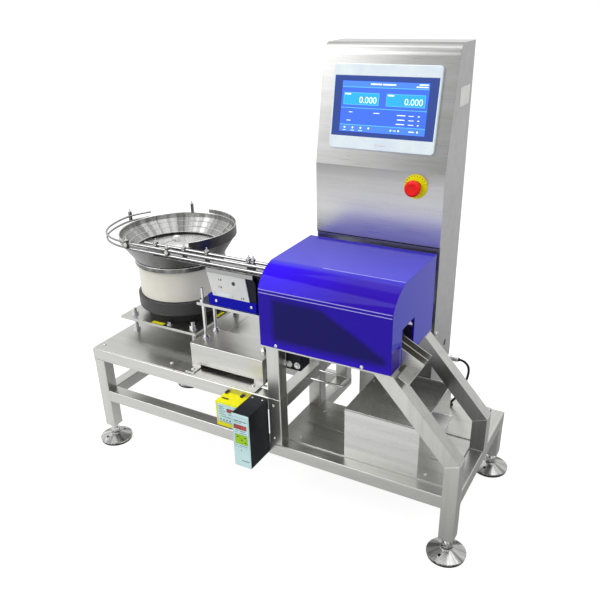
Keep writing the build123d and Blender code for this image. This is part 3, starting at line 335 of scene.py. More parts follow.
# In millimetres, the column's left and right sides, and the height where its leaning panel starts
COLUMN_SIDES = (639, 986)
COLUMN_KINK = 904


def column_painted_light(tree, vector):
    # The column's sheet with painted light: a painted reflection paler at its upper left, painted shade just
    # under the kink, and bands of painted reflection over the crown
    place, facing = parts_of(tree, vector), facing_parts(tree)
    left, right = (mm(side, 0, 0).x for side in COLUMN_SIDES)
    panel = bands(tree, place["X"], left, right, (
        (left, 0.80), (right, 0.42), (left + 0.07, 0.74), (right - 0.1, 0.48)))
    lower = bands(tree, place["Z"], 0.68, 0.91, (
        (0.68, 0.62), (0.91, 0.36), (0.74, 0.72), (0.80, 0.70), (0.87, 0.56), (0.90, 0.40)))
    crown = bands(tree, facing["Z"], 0.1, 1.0, (
        (0.1, 1.0), (1.0, 0.66), (0.24, 1.0), (0.34, 1.0), (0.40, 0.62), (0.48, 0.56), (0.56, 1.0),
        (0.72, 1.0), (0.82, 0.52), (0.95, 0.50), (0.985, 0.62)))
    leaning = ramp(tree, place["Z"], (COLUMN_KINK - 0.5) * MM, (COLUMN_KINK + 0.5) * MM)
    front = mix_colour(tree, leaning, lower, panel)
    front = mix_colour(tree, 1.0, front, crown, "MULTIPLY")
    # Upward faces take a paler painted highlight than the column's sides
    sides = mix_colour(tree, ramp(tree, facing["Z"], 0.97, 0.995), (0.52, 0.52, 0.53), (0.58, 0.58, 0.58))
    return mix_colour(tree, ramp(tree, facing["Y"], -0.02, -0.12), sides, front)


def shaded_front(tree, vector):
    # A tube that stands behind another one: painted shade darkens its front face, and its upper face stays
    # pale
    dark = ramp(tree, facing_parts(tree)["Y"], -0.5, -0.9)
    return mix_colour(tree, dark, (1.0, 1.0, 1.0), (0.36, 0.36, 0.37))


def bowl_steel(name):
    # Spun sheet: painted reflection streaks run down the walls, the treads take a painted highlight, and
    # painted shade darkens the outside towards the right
    material, tree, vector = new_material(name)
    centre = mm(*BOWL_CENTRE, 0)
    flat = vector_node(tree, "MULTIPLY_ADD", vector, (1.0, 1.0, 0.0), (-centre.x, -centre.y, 0.0))[0]
    around = vector_node(tree, "NORMALIZE", flat)[0]
    outward = vector_node(tree, "DOT_PRODUCT", around, face_normal(tree))["Value"]
    reflection_streaks = ramp(tree, noise(tree, around, 7.0, 4.0, 0.62), 0.38, 0.62)
    inside = mix_colour(tree, reflection_streaks, (0.17, 0.17, 0.168), (0.46, 0.46, 0.45))
    side = parts_of(tree, around)
    # The outside is painted darker towards the right, as shade
    outside_shade = bands(tree, math_node(tree, "MULTIPLY_ADD", side["Y"], 0.25, side["X"]), -1.0, 1.0, (
        (-1.0, 0.30), (1.0, 0.075), (-0.5, 0.24), (0.0, 0.20), (0.45, 0.11)))
    wall = mix_colour(tree, ramp(tree, outward, -0.05, 0.05), inside, outside_shade)
    # Upward-facing treads get a pale painted highlight
    tread_highlight = ramp(tree, facing_parts(tree)["Z"], 0.70, 0.90)
    fine = noise(tree, around, 160.0)
    surface(tree, {"Base Color": mix_colour(tree, tread_highlight, wall, (0.90, 0.90, 0.89)), "Metallic": 0.72,
                   "Roughness": varied(tree, fine, 0.16, 0.18),
                   "Normal": bumped(tree, fine, 0.06, radius=TURNED_EDGE)})
    return material


def cone_steel(name):
    # Steel turned on a lathe: pale and dark wedges of painted reflection run from its middle to its edge
    material, tree, vector = new_material(name)
    reflection_wedges = ramp(tree, noise(tree, face_normal(tree), 6.0, 4.0, 0.65), 0.36, 0.64)
    marks = noise(tree, vector, 50.0)
    painted_wedges = mix_colour(tree, reflection_wedges, (0.14, 0.14, 0.138), (0.74, 0.74, 0.73))
    surface(tree, {"Base Color": mix_colour(tree, ramp(tree, marks, 0.5, 0.85), painted_wedges, (0.34, 0.34, 0.335)),
                   "Metallic": 0.9, "Roughness": varied(tree, marks, 0.14, 0.18),
                   "Normal": bumped(tree, marks, 0.05, radius=TURNED_EDGE)})
    return material


def rod_steel(name):
    # Polished bar and small turned pieces, with a painted highlight along their top and painted shade along
    # their flanks
    material, tree, vector = new_material(name)
    painted_light = bands(tree, facing_parts(tree)["Z"], -1.0, 1.0, (
        (-1.0, 0.06), (1.0, 0.40), (-0.3, 0.08), (0.1, 0.14), (0.35, 0.34), (0.65, 0.60), (0.85, 0.28)))
    marks = noise(tree, vector, 60.0)
    surface(tree, {"Base Color": mix_colour(tree, ramp(tree, marks, 0.45, 0.8), painted_light, (0.30, 0.30, 0.30)),
                   "Metallic": 1.0, "Roughness": varied(tree, marks, 0.12, 0.12),
                   "Normal": bumped(tree, marks, 0.04, radius=WIRE_EDGE)})
    return material


def polished_steel(name, colour=(0.70, 0.70, 0.69), roughness=0.10):
    material, tree, vector = new_material(name)
    grain = place_group(tree, "brushed_grain", vector, Stretch=POLISHING)
    dull = ramp(tree, grain["Smudges"], 0.3, 0.75)
    surface(tree, {"Base Color": mix_colour(tree, dull, scaled(colour, 1.12), scaled(colour, 0.86)),
                   "Metallic": 1.0,
                   "Roughness": varied(tree, ramp(tree, grain["Smudges"], 0.35, 0.8), 0.14, roughness),
                   "Normal": bumped(tree, grain["Scratches"], 0.05, radius=WIRE_EDGE)})
    return material


def painted(name, colour, worn, roughness, wear, dust=0.0, gloss=0.5):
    # Paint with cloudy gloss and fine peel, settled dust, and bare metal on its rubbed corners
    colour = chosen(colour)
    material, tree, vector = new_material(name)
    cloudy = noise(tree, vector, 14.0)
    shade = mix_colour(tree, ramp(tree, cloudy, 0.3, 0.7), scaled(colour, 0.90), colour)
    dusty = place_group(tree, "settled_dust", vector, Amount=dust)["Mask"]
    shade = mix_colour(tree, dusty, shade, scaled(colour, 0.5, 0.32))
    rubbed = place_group(tree, "edge_wear", vector, Amount=wear)["Mask"]
    surface(tree, {"Base Color": mix_colour(tree, rubbed, shade, worn), "Specular IOR Level": gloss,
                   "Roughness": varied(tree, cloudy, 0.16, roughness - 0.08),
                   "Normal": bumped(tree, noise(tree, vector, 420.0, 2.0), 0.12, COAT_BUMP)})
    return material


def moulded(name, colour, roughness, texture, scale=900.0, gloss=0.5):
    # Moulded plastic or rubber with a fine spark-eroded texture
    colour = chosen(colour)
    material, tree, vector = new_material(name)
    cloudy = ramp(tree, noise(tree, vector, 25.0), 0.35, 0.65)
    fine = noise(tree, vector, scale, 2.0)
    surface(tree, {"Base Color": mix_colour(tree, cloudy, colour, scaled(colour, 1.10, 0.004)),
                   "Specular IOR Level": gloss, "Roughness": varied(tree, fine, 0.14, roughness - 0.07),
                   "Normal": bumped(tree, fine, texture, COAT_BUMP)})
    return material


def scuffed(tree, vector, smoothest):
    # Roughness and normal of a polished pane: clear, with a few dull scuffs
    marks = noise(tree, vector, 40.0, 5.0, 0.6)
    return {"Roughness": varied(tree, ramp(tree, marks, 0.55, 0.8), 0.05, smoothest),
            "Normal": bumped(tree, marks, 0.02, COAT_BUMP, ACRYLIC_EDGE)}


def screen_pane(name, colour):
    # The display's glass: deep blue, and its coat mirrors what is round it
    material, tree, vector = new_material(name)
    cloudy = ramp(tree, noise(tree, vector, 6.0, 2.0), 0.3, 0.7)
    surface(tree, {"Base Color": mix_colour(tree, cloudy, scaled(colour, 0.86), colour), "IOR": 1.5,
                   "Coat Weight": 0.4, "Coat Roughness": 0.02, **scuffed(tree, vector, 0.025)})
    return material


# The cover's blues, painted light and shade: its slope at the left and right, its top at the front and back,
# its pale and dark end, and the patch of painted shade on its front where the dark inside shows through
SLOPE_PAINTED_BLUES = ((0.032, 0.001, 0.86), (0.028, 0.003, 0.42))
TOP_REFLECTION_BLUES = ((0.085, 0.075, 0.66), (0.050, 0.040, 0.50))
END_PAINTED_BLUES = ((0.085, 0.085, 0.66), (0.028, 0.004, 0.30))
PAINTED_SHADE_BLUE = (0.0075, 0.0035, 0.155)

# Height in millimetres where the cover's front ends and its slope starts
COVER_BEND = 657


def cover_acrylic(name):
    # The folded cover with painted light: vivid on its slope, pale with painted reflection above, painted
    # light and shade at its end, and painted shade on its front where its inside shows through
    material, tree, vector = new_material(name)
    place, facing = parts_of(tree, vector), facing_parts(tree)
    low, high = (Vector(corner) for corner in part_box("weigh_cover"))
    # The front's own directions: u runs from left to right and v from the bend down
    u = ramp(tree, place["X"], low.x, high.x)
    v = ramp(tree, place["Z"], mm(0, 0, COVER_BEND).z, low.z)
    slant = math_node(tree, "MULTIPLY_ADD", u, -1.33, v)
    slant = math_node(tree, "MULTIPLY_ADD", noise(tree, vector, 9.0, 2.0), 0.12, slant)
    shade_patch = multiplied(tree, ramp(tree, u, 0.08, 0.13), ramp(tree, u, 1.0, 0.94), ramp(tree, v, 0.06, 0.20),
                       ramp(tree, v, 0.94, 0.80), ramp(tree, slant, -0.50, -0.40))
    vivid = chosen("cover")
    # Painted shade darkens the front, all but its lowest band
    front = mix_colour(tree, ramp(tree, v, 0.72, 0.95), scaled(vivid, 0.78), vivid)
    front = mix_colour(tree, shade_patch, front, PAINTED_SHADE_BLUE)
    painted_slope = mix_colour(tree, ramp(tree, u, 0.12, 0.70), *SLOPE_PAINTED_BLUES)
    top = mix_colour(tree, ramp(tree, place["Y"], low.y + 0.05, high.y), *TOP_REFLECTION_BLUES)
    end = mix_colour(tree, ramp(tree, v, 0.60, 0.66), *END_PAINTED_BLUES)
    end = mix_colour(tree, ramp(tree, place["Y"], low.y + 0.05, low.y + 0.052), end, END_PAINTED_BLUES[0])
    # Each way a face looks takes its own painted light and shade
    shade = mix_colour(tree, ramp(tree, facing["Y"], -0.90, -0.985), painted_slope, front)
    shade = mix_colour(tree, ramp(tree, facing["Z"], 0.93, 0.985), shade, top)
    shade = mix_colour(tree, ramp(tree, facing["X"], 0.6, 0.8), shade, end)
    surface(tree, {"Base Color": shade, "IOR": 1.5, "Specular IOR Level": 0.08,
                   "Transmission Weight": 0.08, **scuffed(tree, vector, 0.03)})
    return material


def lit(name, colour, glow=0.55):
    # A lit picture behind clear glass, broken up by its fine rows of picture points
    colour = chosen(colour)
    material, tree, vector = new_material(name)
    slow = noise(tree, vector, 12.0, 2.0)
    shade = mix_colour(tree, ramp(tree, slow, 0.25, 0.75), scaled(colour, 0.90), colour)
    points = ramp(tree, noise(tree, vector, 1400.0, 1.0), 0.35, 0.65)
    shade = mix_colour(tree, points, shade, scaled(colour, 1.05))
    surface(tree, {"Base Color": shade, "Emission Color": shade, "Emission Strength": glow,
                   "Roughness": varied(tree, slow, 0.06, 0.12), "Coat Weight": 0.3, "Coat Roughness": 0.04})
    return material


# Each finish is built when a piece first asks for it: its maker, and what the maker is given in order
FINISHES = {
    "steel_brushed_along": (brushed_steel, ALONG_X),
    "steel_brushed_across": (brushed_steel, ALONG_Y),
    "steel_brushed_upright": (brushed_steel, ALONG_Z),
    "column_steel": (brushed_steel, ALONG_X, (0.92, 0.92, 0.89), 0.28, column_painted_light),
    "shaded_steel": (brushed_steel, ALONG_Z, (0.60, 0.60, 0.585), 0.28, shaded_front),
    # The drive's top bar: a darker copy of the steel, as painted shade
    "bar_steel": (brushed_steel, ALONG_X, (0.33, 0.33, 0.33), 0.26),
    "pale_steel": (brushed_steel, ALONG_X, (0.60, 0.60, 0.585), 0.26),
    "weld_steel": (brushed_steel, ALONG_X, (0.66, 0.66, 0.64), 0.34),
    "dark_steel": (brushed_steel, ALONG_X, (0.16, 0.16, 0.165), 0.34),
    "rod_steel": (rod_steel,),
    "cone_steel": (cone_steel,),
    "bowl_steel": (bowl_steel,),
    "polished_steel": (polished_steel,),
    "stainless_edge": (polished_steel, (0.78, 0.78, 0.76), 0.22),
    # Paint: colour, colour where it is rubbed, roughness, wear, dust and gloss
    "dark_grey_paint": (painted, (0.040, 0.040, 0.042), (0.22, 0.22, 0.22), 0.42, 0.35, 0.15),
    "cream_paint": (painted, "drum", (0.45, 0.44, 0.40), 0.30, 0.2, 0.05),
    "blue_paint": (painted, (0.001, 0.002, 0.47), (0.45, 0.45, 0.45), 0.42, 0.6, 0.0, 0.15),
    "white_paint": (painted, (0.86, 0.87, 0.84), (0.40, 0.40, 0.40), 0.32, 0.3, 0.05),
    "black_paint": (painted, (0.007, 0.009, 0.014), (0.20, 0.20, 0.20), 0.42, 0.3, 0.0, 0.2),
    # Plastic and rubber: colour, roughness, depth and scale of the texture, and gloss
    "black_rubber": (moulded, (0.012, 0.012, 0.012), 0.62, 0.3, 700.0, 0.35),
    # Pale strips that paint the highlights on the cover's bends
    "bend_line": (moulded, (0.42, 0.38, 0.98), 0.16, 0.02),
    "yellow_plastic": (moulded, (1.0, 0.88, 0.0), 0.40, 0.06, 900.0, 0.25),
    "panel_plastic": (moulded, (0.80, 0.90, 0.98), 0.34, 0.05),
    "face_plastic": (moulded, (0.66, 0.92, 0.94), 0.34, 0.05),
    "black_plastic": (moulded, (0.016, 0.016, 0.018), 0.38, 0.12),
    "red_plastic": (moulded, "stop", 0.26, 0.03, 900.0, 0.3),
    "white_plastic": (moulded, (0.80, 0.80, 0.78), 0.4, 0.08),
    "key_green": (moulded, (0.52, 0.90, 0.02), 0.36, 0.05, 900.0, 0.3),
    "key_grey": (moulded, (0.20, 0.33, 0.38), 0.4, 0.05),
    "blue_acrylic": (cover_acrylic,),
    "screen_glass": (screen_pane, (0.024, 0.075, 0.40)),
    # Lit faces: colour and glow
    "display_field": (lit, "display"),
    "display_bar": (lit, (0.055, 0.20, 0.98)),
    "display_box": (lit, (0.012, 0.36, 0.90)),
    "display_edge": (lit, (0.10, 0.52, 0.95)),
    "display_marks": (lit, (0.80, 0.92, 1.0), 0.7),
    "lamp_red": (lit, (0.34, 0.008, 0.003), 0.10),
    "lamp_digits": (lit, (0.70, 0.05, 0.02), 0.5),
}

# The nodes whose record slot isn't enough: brushing runs along the tube, and several pieces carry painted
# light and shade of their own
NODE_FINISHES = {
    "steel_brushed_across": ("frame_cross_rails",),
    "steel_brushed_upright": ("frame_legs", "frame_mid_posts", "cover_posts", "brace_front"),
    "shaded_steel": ("brace_rear",),
    "column_steel": ("column_cabinet", "column_pedestal", "column_back_door"),
    "bowl_steel": ("feeder_bowl", "bowl_track", "bowl_floor", "bowl_rim_wall"),
    "rod_steel": ("bowl_neck", "track_rods", "track_bed", "bowl_rail_loop", "track_clamps", "rim_clips"),
    "bar_steel": ("drive_top_bar",),
    "cone_steel": ("foot_discs",),
    "pale_steel": ("collection_bin",),
    "face_plastic": ("controller_panels",),
}


def finish(key):
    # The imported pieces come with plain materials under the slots' names, so a finish has a name of its own
    name = key + "_finish"
    maker, *given = FINISHES[key]
    return bpy.data.materials.get(name) or maker(name, *given)


def node_finish(node, slot):
    for key, nodes in NODE_FINISHES.items():
        if node in nodes:
            return finish(key)
    return finish("steel_brushed_along" if slot.startswith("stainless") else slot)


class CHECKWEIGHER_OT_finishes(bpy.types.Operator):
    """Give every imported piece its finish"""

    bl_idname = "checkweigher.finishes"
    bl_label = "Dress the Packed Pieces"

    def execute(self, context):
        for row in frame["record"]["subparts"]:
            piece = NODES[row["node"]]
            piece.data.materials.clear()
            piece.data.materials.append(node_finish(row["node"], row["material_slot"]))
        return {"FINISHED"}


def mm(x, y, z):
    # A place in millimetres from the frame's left end, its front face and the floor
    return Vector((LEFT + x * MM, FRONT + y * MM, z * MM))


def placed(origin=(0, 0, 0), facing="up"):
    # The frame of a fitting that sits on a face: its own Z looks out of the face
    turn = Euler([math.radians(angle) for angle in FACING[facing]])
    return Matrix.Translation(mm(*origin)) @ turn.to_matrix().to_4x4()


def moved(x, y, z=0):
    return Matrix.Translation(Vector((x, y, z)) * MM)


def spun(angle, axis="Z"):
    return Matrix.Rotation(math.radians(angle), 4, axis)


def aimed(run):
    # Turns a piece's own Z along a run
    return run.to_track_quat("Z", "Y").to_matrix().to_4x4()


def deselect():
    bpy.ops.object.select_all(action="DESELECT")


def started(name, key):
    # The primitive that was just added gets its name and finish, and its place goes into its mesh
    piece = bpy.context.object
    piece.name = name
    piece.data.name = name
    bpy.ops.object.transform_apply(location=True, rotation=True, scale=True)
    piece.data.materials.append(finish(key))
    return piece


@contextmanager
def edit_mode():
    # All of the active piece is selected, and it is closed with its faces outwards
    bpy.ops.object.mode_set(mode="EDIT")
    bpy.ops.mesh.select_all(action="SELECT")
    yield
    bpy.ops.mesh.select_all(action="SELECT")
    bpy.ops.mesh.normals_make_consistent(inside=False)
    bpy.ops.object.mode_set(mode="OBJECT")


def extruded(rise):
    bpy.ops.mesh.extrude_region_move(TRANSFORM_OT_translate={"value": (0, 0, rise * MM)})


def slab(name, key, low, high, edge, steps=2):
    # A block in millimetres of its own frame, its edges rounded by a bevel
    low, high = Vector(low) * MM, Vector(high) * MM
    deselect()
    bpy.ops.mesh.primitive_cube_add(size=1, location=(low + high) / 2, scale=high - low)
    piece = started(name, key)
    bevel = piece.modifiers.new("bevel", "BEVEL")
    bevel.width, bevel.segments, bevel.limit_method = edge * MM, steps, "ANGLE"
    bpy.ops.object.modifier_apply(modifier=bevel.name)
    return piece


def tile(name, key, x0, x1, y0, y1, low, high, corner):
    # A thin plate with rounded corners: a plane whose corners are bevelled, drawn up to its thickness
    deselect()
    bpy.ops.mesh.primitive_plane_add(
        size=1, location=((x0 + x1) / 2 * MM, (y0 + y1) / 2 * MM, low * MM))
    bpy.context.object.scale = ((x1 - x0) * MM, (y1 - y0) * MM, 1)
    piece = started(name, key)
    with edit_mode():
        bpy.ops.mesh.bevel(offset=corner * MM, segments=3, affect="VERTICES")
        bpy.ops.mesh.select_all(action="SELECT")
        extruded(high - low)
    return piece


def turned(name, key, rings, segments=32):
    # A disc is drawn up its own Z ring by ring, each a radius and a height in millimetres
    deselect()
    radius, height = rings[0]
    bpy.ops.mesh.primitive_circle_add(
        vertices=segments, radius=radius * MM, fill_type="NGON", location=(0, 0, height * MM))
    piece = started(name, key)
    with edit_mode():
        bpy.ops.mesh.select_mode(type="FACE")
        bpy.ops.mesh.select_all(action="SELECT")
        for (last, before), (radius, height) in zip(rings, rings[1:]):
            extruded(height - before)
            grow = radius / last
            bpy.ops.transform.resize(value=(grow, grow, 1), center_override=(0, 0, height * MM))
    return piece


def hoop(name, key, radius, thick, steps):
    # A bent wire ring round its own Z: a small circle spun once round
    deselect()
    bpy.ops.mesh.primitive_circle_add(
        vertices=12, radius=thick * MM, location=(radius * MM, 0, 0), rotation=(math.pi / 2, 0, 0))
    piece = started(name, key)
    with edit_mode():
        bpy.ops.mesh.spin(steps=steps, angle=math.tau, center=(0, 0, 0), axis=(0, 0, 1))
        bpy.ops.mesh.select_all(action="SELECT")
        bpy.ops.mesh.remove_doubles(threshold=0.00001)
    return piece


def digits(key, words, size, right, foot, out):
    # Generic figures, set by their right lower corner
    deselect()
    bpy.ops.object.text_add()
    text = bpy.context.object.data
    text.body, text.size, text.align_x, text.extrude = words, size * MM, "RIGHT", 0.05 * MM
    bpy.ops.object.convert(target="MESH")
    return put(started("figures", key), moved(right, foot, out))


def put(piece, matrix):
    piece.data.transform(matrix)
    return piece


def repeated(model, matrices):
    # The model is copied to each place, each copy with its own mesh, and is then removed
    made = []
    for matrix in matrices:
        copy = model.copy()
        copy.data = model.data.copy()
        bpy.context.scene.collection.objects.link(copy)
        made.append(put(copy, matrix))
    bpy.data.objects.remove(model)
    return made


def joined(pieces):
    # The first piece takes in the others
    deselect()
    for piece in pieces:
        piece.select_set(True)
    bpy.context.view_layer.objects.active = pieces[0]
    if len(pieces) > 1:
        bpy.ops.object.join()
    return bpy.context.object


def gather(name, pieces, place=None, body=MACHINE):
    # Like pieces are put in place and become one object, which rides on its body
    if place:
        pieces = [put(piece, place) for piece in pieces]
    whole = joined(pieces)
    whole.name = name
    whole.data.name = name
    bpy.ops.object.shade_smooth_by_angle(angle=math.radians(SMOOTH_ANGLE))
    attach(whole, body)
    return whole


def dome_screw(scale):
    r = fitting_values().screw_radius / MM * scale
    return turned("dome_screw", "polished_steel", [
        (r, 0), (r, 0.16 * r), (0.93 * r, 0.33 * r), (0.74 * r, 0.48 * r), (0.46 * r, 0.56 * r),
        (0.40 * r, 0.55 * r), (0.38 * r, 0.30 * r)], 24)


def hex_bolt(scale, stud):
    # A washer, a hexagon head with a turned top, and the end of its thread where it shows
    r = fitting_values().bolt_radius / MM * scale
    made = [turned("head", "polished_steel", [
                (r, 0.26 * r), (r, 0.92 * r), (0.86 * r, 1.06 * r), (0.4 * r, 1.08 * r)], 6),
            turned("washer", "polished_steel", [(1.5 * r, 0), (1.5 * r, 0.2 * r), (1.42 * r, 0.26 * r)], 24)]
    if stud:
        made.append(turned("thread", "polished_steel", [
            (0.45 * r, r), (0.45 * r, stud - 0.5), (0.30 * r, stud), (0.1 * r, stud)], 16))
    return joined(made)


# Places below are millimetres from the frame's left end, its front face and the floor

# The lead's route, the same points as in the part's source, and where its gland sits
LEAD_ROUTE = ((1018, 430, 339.3), (1030, 430, 339.3), (1041.5, 430, 332.8), (1049.5, 430, 322.3),
              (1051.5, 429.5, 307.3), (1049, 428, 286.3), (1043, 423, 261.3), (1032, 415, 234.3),
              (1022, 409, 217.3), (1012.5, 407.5, 205.3), (1012.5, 407.5, 197))
LEAD_GLAND = (986, 430, 339.3)

# The screen's lean in degrees and its thickness, and its picture's sides from the middle of its face
SCREEN_LEAN = 10.6
SCREEN_THICK = 8.0
DISPLAY = (-112.5, 111.5, -58.0, 60.5)
PICTURE_RISE = 0.2

# Rules, value boxes, marks and keys of the picture, as shares of its sides from its upper left corner
DISPLAY_LINES = (0.112, 0.520, 0.855)
DISPLAY_BOXES = ((0.025, 0.445), (0.530, 0.970))
DISPLAY_MARKS = (
    (0.335, 0.465, 0.040, 0.026), (0.475, 0.625, 0.040, 0.026), (0.885, 0.985, 0.022, 0.022),
    (0.855, 0.985, 0.066, 0.022), (0.100, 0.145, 0.605, 0.012), (0.395, 0.465, 0.605, 0.014),
    (0.670, 0.765, 0.620, 0.016), (0.800, 0.862, 0.625, 0.012), (0.905, 0.925, 0.620, 0.020),
    (0.675, 0.760, 0.705, 0.018), (0.802, 0.864, 0.710, 0.012), (0.905, 0.925, 0.705, 0.020),
    (0.665, 0.760, 0.790, 0.018), (0.802, 0.866, 0.794, 0.012), (0.905, 0.925, 0.790, 0.020),
    (0.080, 0.128, 0.770, 0.012), (0.045, 0.080, 0.968, 0.010), (0.138, 0.182, 0.968, 0.010),
    (0.232, 0.280, 0.968, 0.010), (0.640, 0.672, 0.925, 0.014), (0.820, 0.880, 0.922, 0.020))
DISPLAY_KEYS = ((0.062, 0.918), (0.160, 0.918), (0.256, 0.918), (0.352, 0.918),
                (0.612, 0.930), (0.702, 0.930), (0.915, 0.930))

# Angles of the ticks round the stop button's disc
STOP_TICKS = (18, 34, 50, 66, 82, 98, 114, 130, 146, 162, 255, 270, 285)

# Left upper corners of the two control boxes' faces, and what is measured from them: plates with their finish,
# sides, foot, height and corner radius, marks with their sides, and the keys' middles
BLACK_FACE = (581, -96, 332)
BLACK_PLATES = (
    ("key_grey", 2.2, 49.8, -104, -9, 0, 0.10, 1.6), ("face_plastic", 2.9, 49.1, -103.3, -9.7, 0, 0.16, 1.2),
    ("key_grey", 4.4, 44.6, -46.2, -31.4, 0.1, 0.30, 1.4),
    ("lamp_red", 5.2, 43.8, -45.4, -32.2, 0.1, 0.42, 1.0),
    ("key_grey", 6.6, 45.6, -93.2, -61.6, 0.1, 0.24, 1.0),
    ("key_green", 7.4, 44.8, -92.4, -62.4, 0.1, 0.36, 0.8))
BLACK_MARKS = (
    (6, 20, -22, -18.5), (22, 32, -22, -18.5), (34, 45, -22, -18.5), (6, 28, -26.5, -24.8),
    (10, 20, -51, -49.2), (23, 40, -52, -49.6), (7, 16, -57, -55.4), (22, 44, -58, -56),
    (5, 14, -98.5, -96.8), (18, 45, -99, -97), (24, 46, -147, -144))
BLACK_KEYS = ((14, -70), (27, -79), (38.5, -70), (38.5, -84.5))
YELLOW_FACE = (502, -52, 315)
YELLOW_PLATES = (
    ("key_grey", 1.2, 65.8, -56.8, -1.2, 0, 0.10, 1.4), ("face_plastic", 1.9, 65.1, -56.1, -1.9, 0, 0.16, 1.0),
    ("key_grey", 30.6, 59.4, -22.4, -9.6, 0.1, 0.30, 3.2),
    ("lamp_red", 31.4, 58.6, -21.6, -10.4, 0.1, 0.42, 2.8))
YELLOW_KEYS = ((10, -48.4), (20, -48.4), (30, -48.4), (40, -48.4))
YELLOW_MARKS = (
    (6, 20, -9, -6.6), (6, 24, -13, -11.4), (6, 18, -17, -15.6), (6, 26, -22, -20.4), (6, 22, -27, -25.6),
    (6, 28, -33, -31.4), (36, 56, -29, -27), (10, 44, -40, -38), (6, 60, -54, -52.8))

# The drive's white side plate: its face, and the slots with a screw in each
DRIVE_FACE = 92
DRIVE_SLOTS = ((439, 610.5), (438.5, 588.5), (510.5, 567))

BOWL_CENTRE = (153, 281)
BIN_MOUTH = (843, 1047, 38, 282.5, 343)

# Name and size of each kind of dome screw, and its places by the way it faces
DOME_SCREWS = (
    ("cover_screws", 1.0,
     {"front": ((672, -8, 508), (909, -8, 507)), "left": ((626, 30, 512), (626, 240, 512)),
      "back": ((680, 270, 512), (930, 270, 512))}),
    ("post_screws", 0.85, {"front": ((650, 0, 318), (649, 0, 214)), "back": ((650, 38, 470),)}),
    ("table_screws", 1.15,
     {"up": ((22, 31, 342), (285, 32, 342), (598, 48, 339), (22, 412, 342), (285, 412, 342), (565, 412, 342),
             (366, 27, 345), (572, 26, 345), (366, 173, 345), (578, 173, 345), (1060, 60, 197),
             (700, 60, 197), (700, 205, 197))}),
    ("box_screws", 0.62, {"up": ((590.6, -8, 332), (622, -9, 332))}),
    ("drive_slot_screws", 0.55,
     {"front": ((439, 91.8, 610.5), (438.5, 91.8, 588.5), (510.5, 91.8, 567), (417, 91.8, 568.5),
                (476, 91.8, 567.5))}),
    ("drive_base_screws", 0.95,
     {"front": ((421.6, 92, 545), (537.6, 92, 547)), "back": ((421.6, 148, 545), (537.6, 148, 547)),
      "right": ((566, 112, 543), (566, 128, 543), (566, 112, 632), (566, 128, 632))}),
    ("drive_bar_screws", 0.72,
     {"up": ((401, 95, 640), (470, 95, 640), (530, 95, 640), (401, 145, 640), (470, 145, 640),
             (530, 145, 640))}),
    ("bin_screws", 1.0, {"right": ((844.5, 222, 331),), "front": ((860, 281, 256),)}),
    ("door_screws", 0.8,
     {"back": ((668, 444, 360), (812, 444, 360), (668, 444, 1168), (812, 444, 1168), (668, 444, 764))}),
)

# Name, size and height of the bare thread of each kind of small hexagon bolt, and its places
HEX_BOLTS = (
    ("clamp_bolts", 0.95, 10.0,
     {"up": ((125, 82, 680), (274, 82, 680), (213, 108, 680), (313, 108, 680), (391, 108, 680),
             (527, 108, 680), (541, 108, 680), (-46.5, 293, 685), (87, 446, 686))}),
    ("clamp_side_bolts", 0.9, 0.0,
     {"front": ((125, 76.5, 668), (274, 76.5, 668), (213, 102.5, 676), (313, 102.5, 676), (391, 102.5, 676),
                (527, 102.5, 676), (541, 102.5, 676)),
      "back": ((313, 113.5, 668), (391, 113.5, 668), (534, 113.5, 668))}),
    ("cell_bolts", 1.5, 0.0,
     {"front": ((678, 45, 432), (702, 45, 432), (678, 45, 482), (702, 45, 482))}),
    ("drum_plate_bolt", 1.7, 0.0, {"up": ((187, 155, 395),)}),
)

# The levelling feet: their centres, the slope of their cones, and how far out and up their two holes sit
FOOT_CENTRES = ((19, 19), (1144, 19), (19, 425), (1144, 425))
FOOT_SLOPE = 20.9
FOOT_HOLE_OUT = 32.0
FOOT_HOLE_UP = 18.3
FOOT_HOLE_TURNS = (-105, 75)

# Runs of the weld beads, from one end to the other
WELDS = (
    ((635, 0, 339), (673, 0, 339)), ((673, 0, 339), (673, 38, 339)), ((635, 0, 301), (635, 0, 339)),
    ((0, 0, 301), (38, 0, 301)), ((0, 0, 301), (0, 38, 301)), ((0, 38, 301), (0, 38, 339)),
    ((38, 0, 156), (38, 0, 194)), ((38, 0, 194), (38, 38, 194)), ((1125, 0, 156), (1125, 0, 194)),
    ((635, 0, 194), (673, 0, 194)), ((673, 0, 194), (673, 38, 194)), ((1125, 0, 281), (1163, 0, 295.5)),
    ((1163, 0, 295.5), (1163, 38, 295.5)), ((1125, 38, 281), (1163, 38, 295.5)),
    ((1163, 38, 156), (1163, 38, 194)), ((1125, 226, 194), (1163, 226, 194)),
    ((1163, 226, 194), (1163, 264, 194)), ((1125, 226, 281), (1163, 226, 295.5)),
    ((1163, 226, 295.5), (1163, 264, 295.5)), ((1125, 264, 281), (1163, 264, 295.5)),
    ((635, 226, 339), (673, 226, 339)), ((673, 226, 339), (673, 264, 339)), ((0, 38, 156), (0, 38, 194)),
    ((0, 406, 156), (0, 406, 194)), ((0, 406, 301), (0, 406, 339)), ((0, 406, 301), (0, 444, 301)),
    ((0, 444, 301), (38, 444, 301)), ((38, 444, 156), (38, 444, 194)), ((635, 444, 156), (635, 444, 194)),
    ((635, 444, 194), (673, 444, 194)), ((1125, 444, 156), (1163, 444, 156)),
    ((1163, 406, 156), (1163, 444, 156)), ((635, 444, 301), (635, 444, 339)),
    ((673, 38, 156), (673, 38, 194)), ((1125, 38, 194), (1163, 38, 194)))


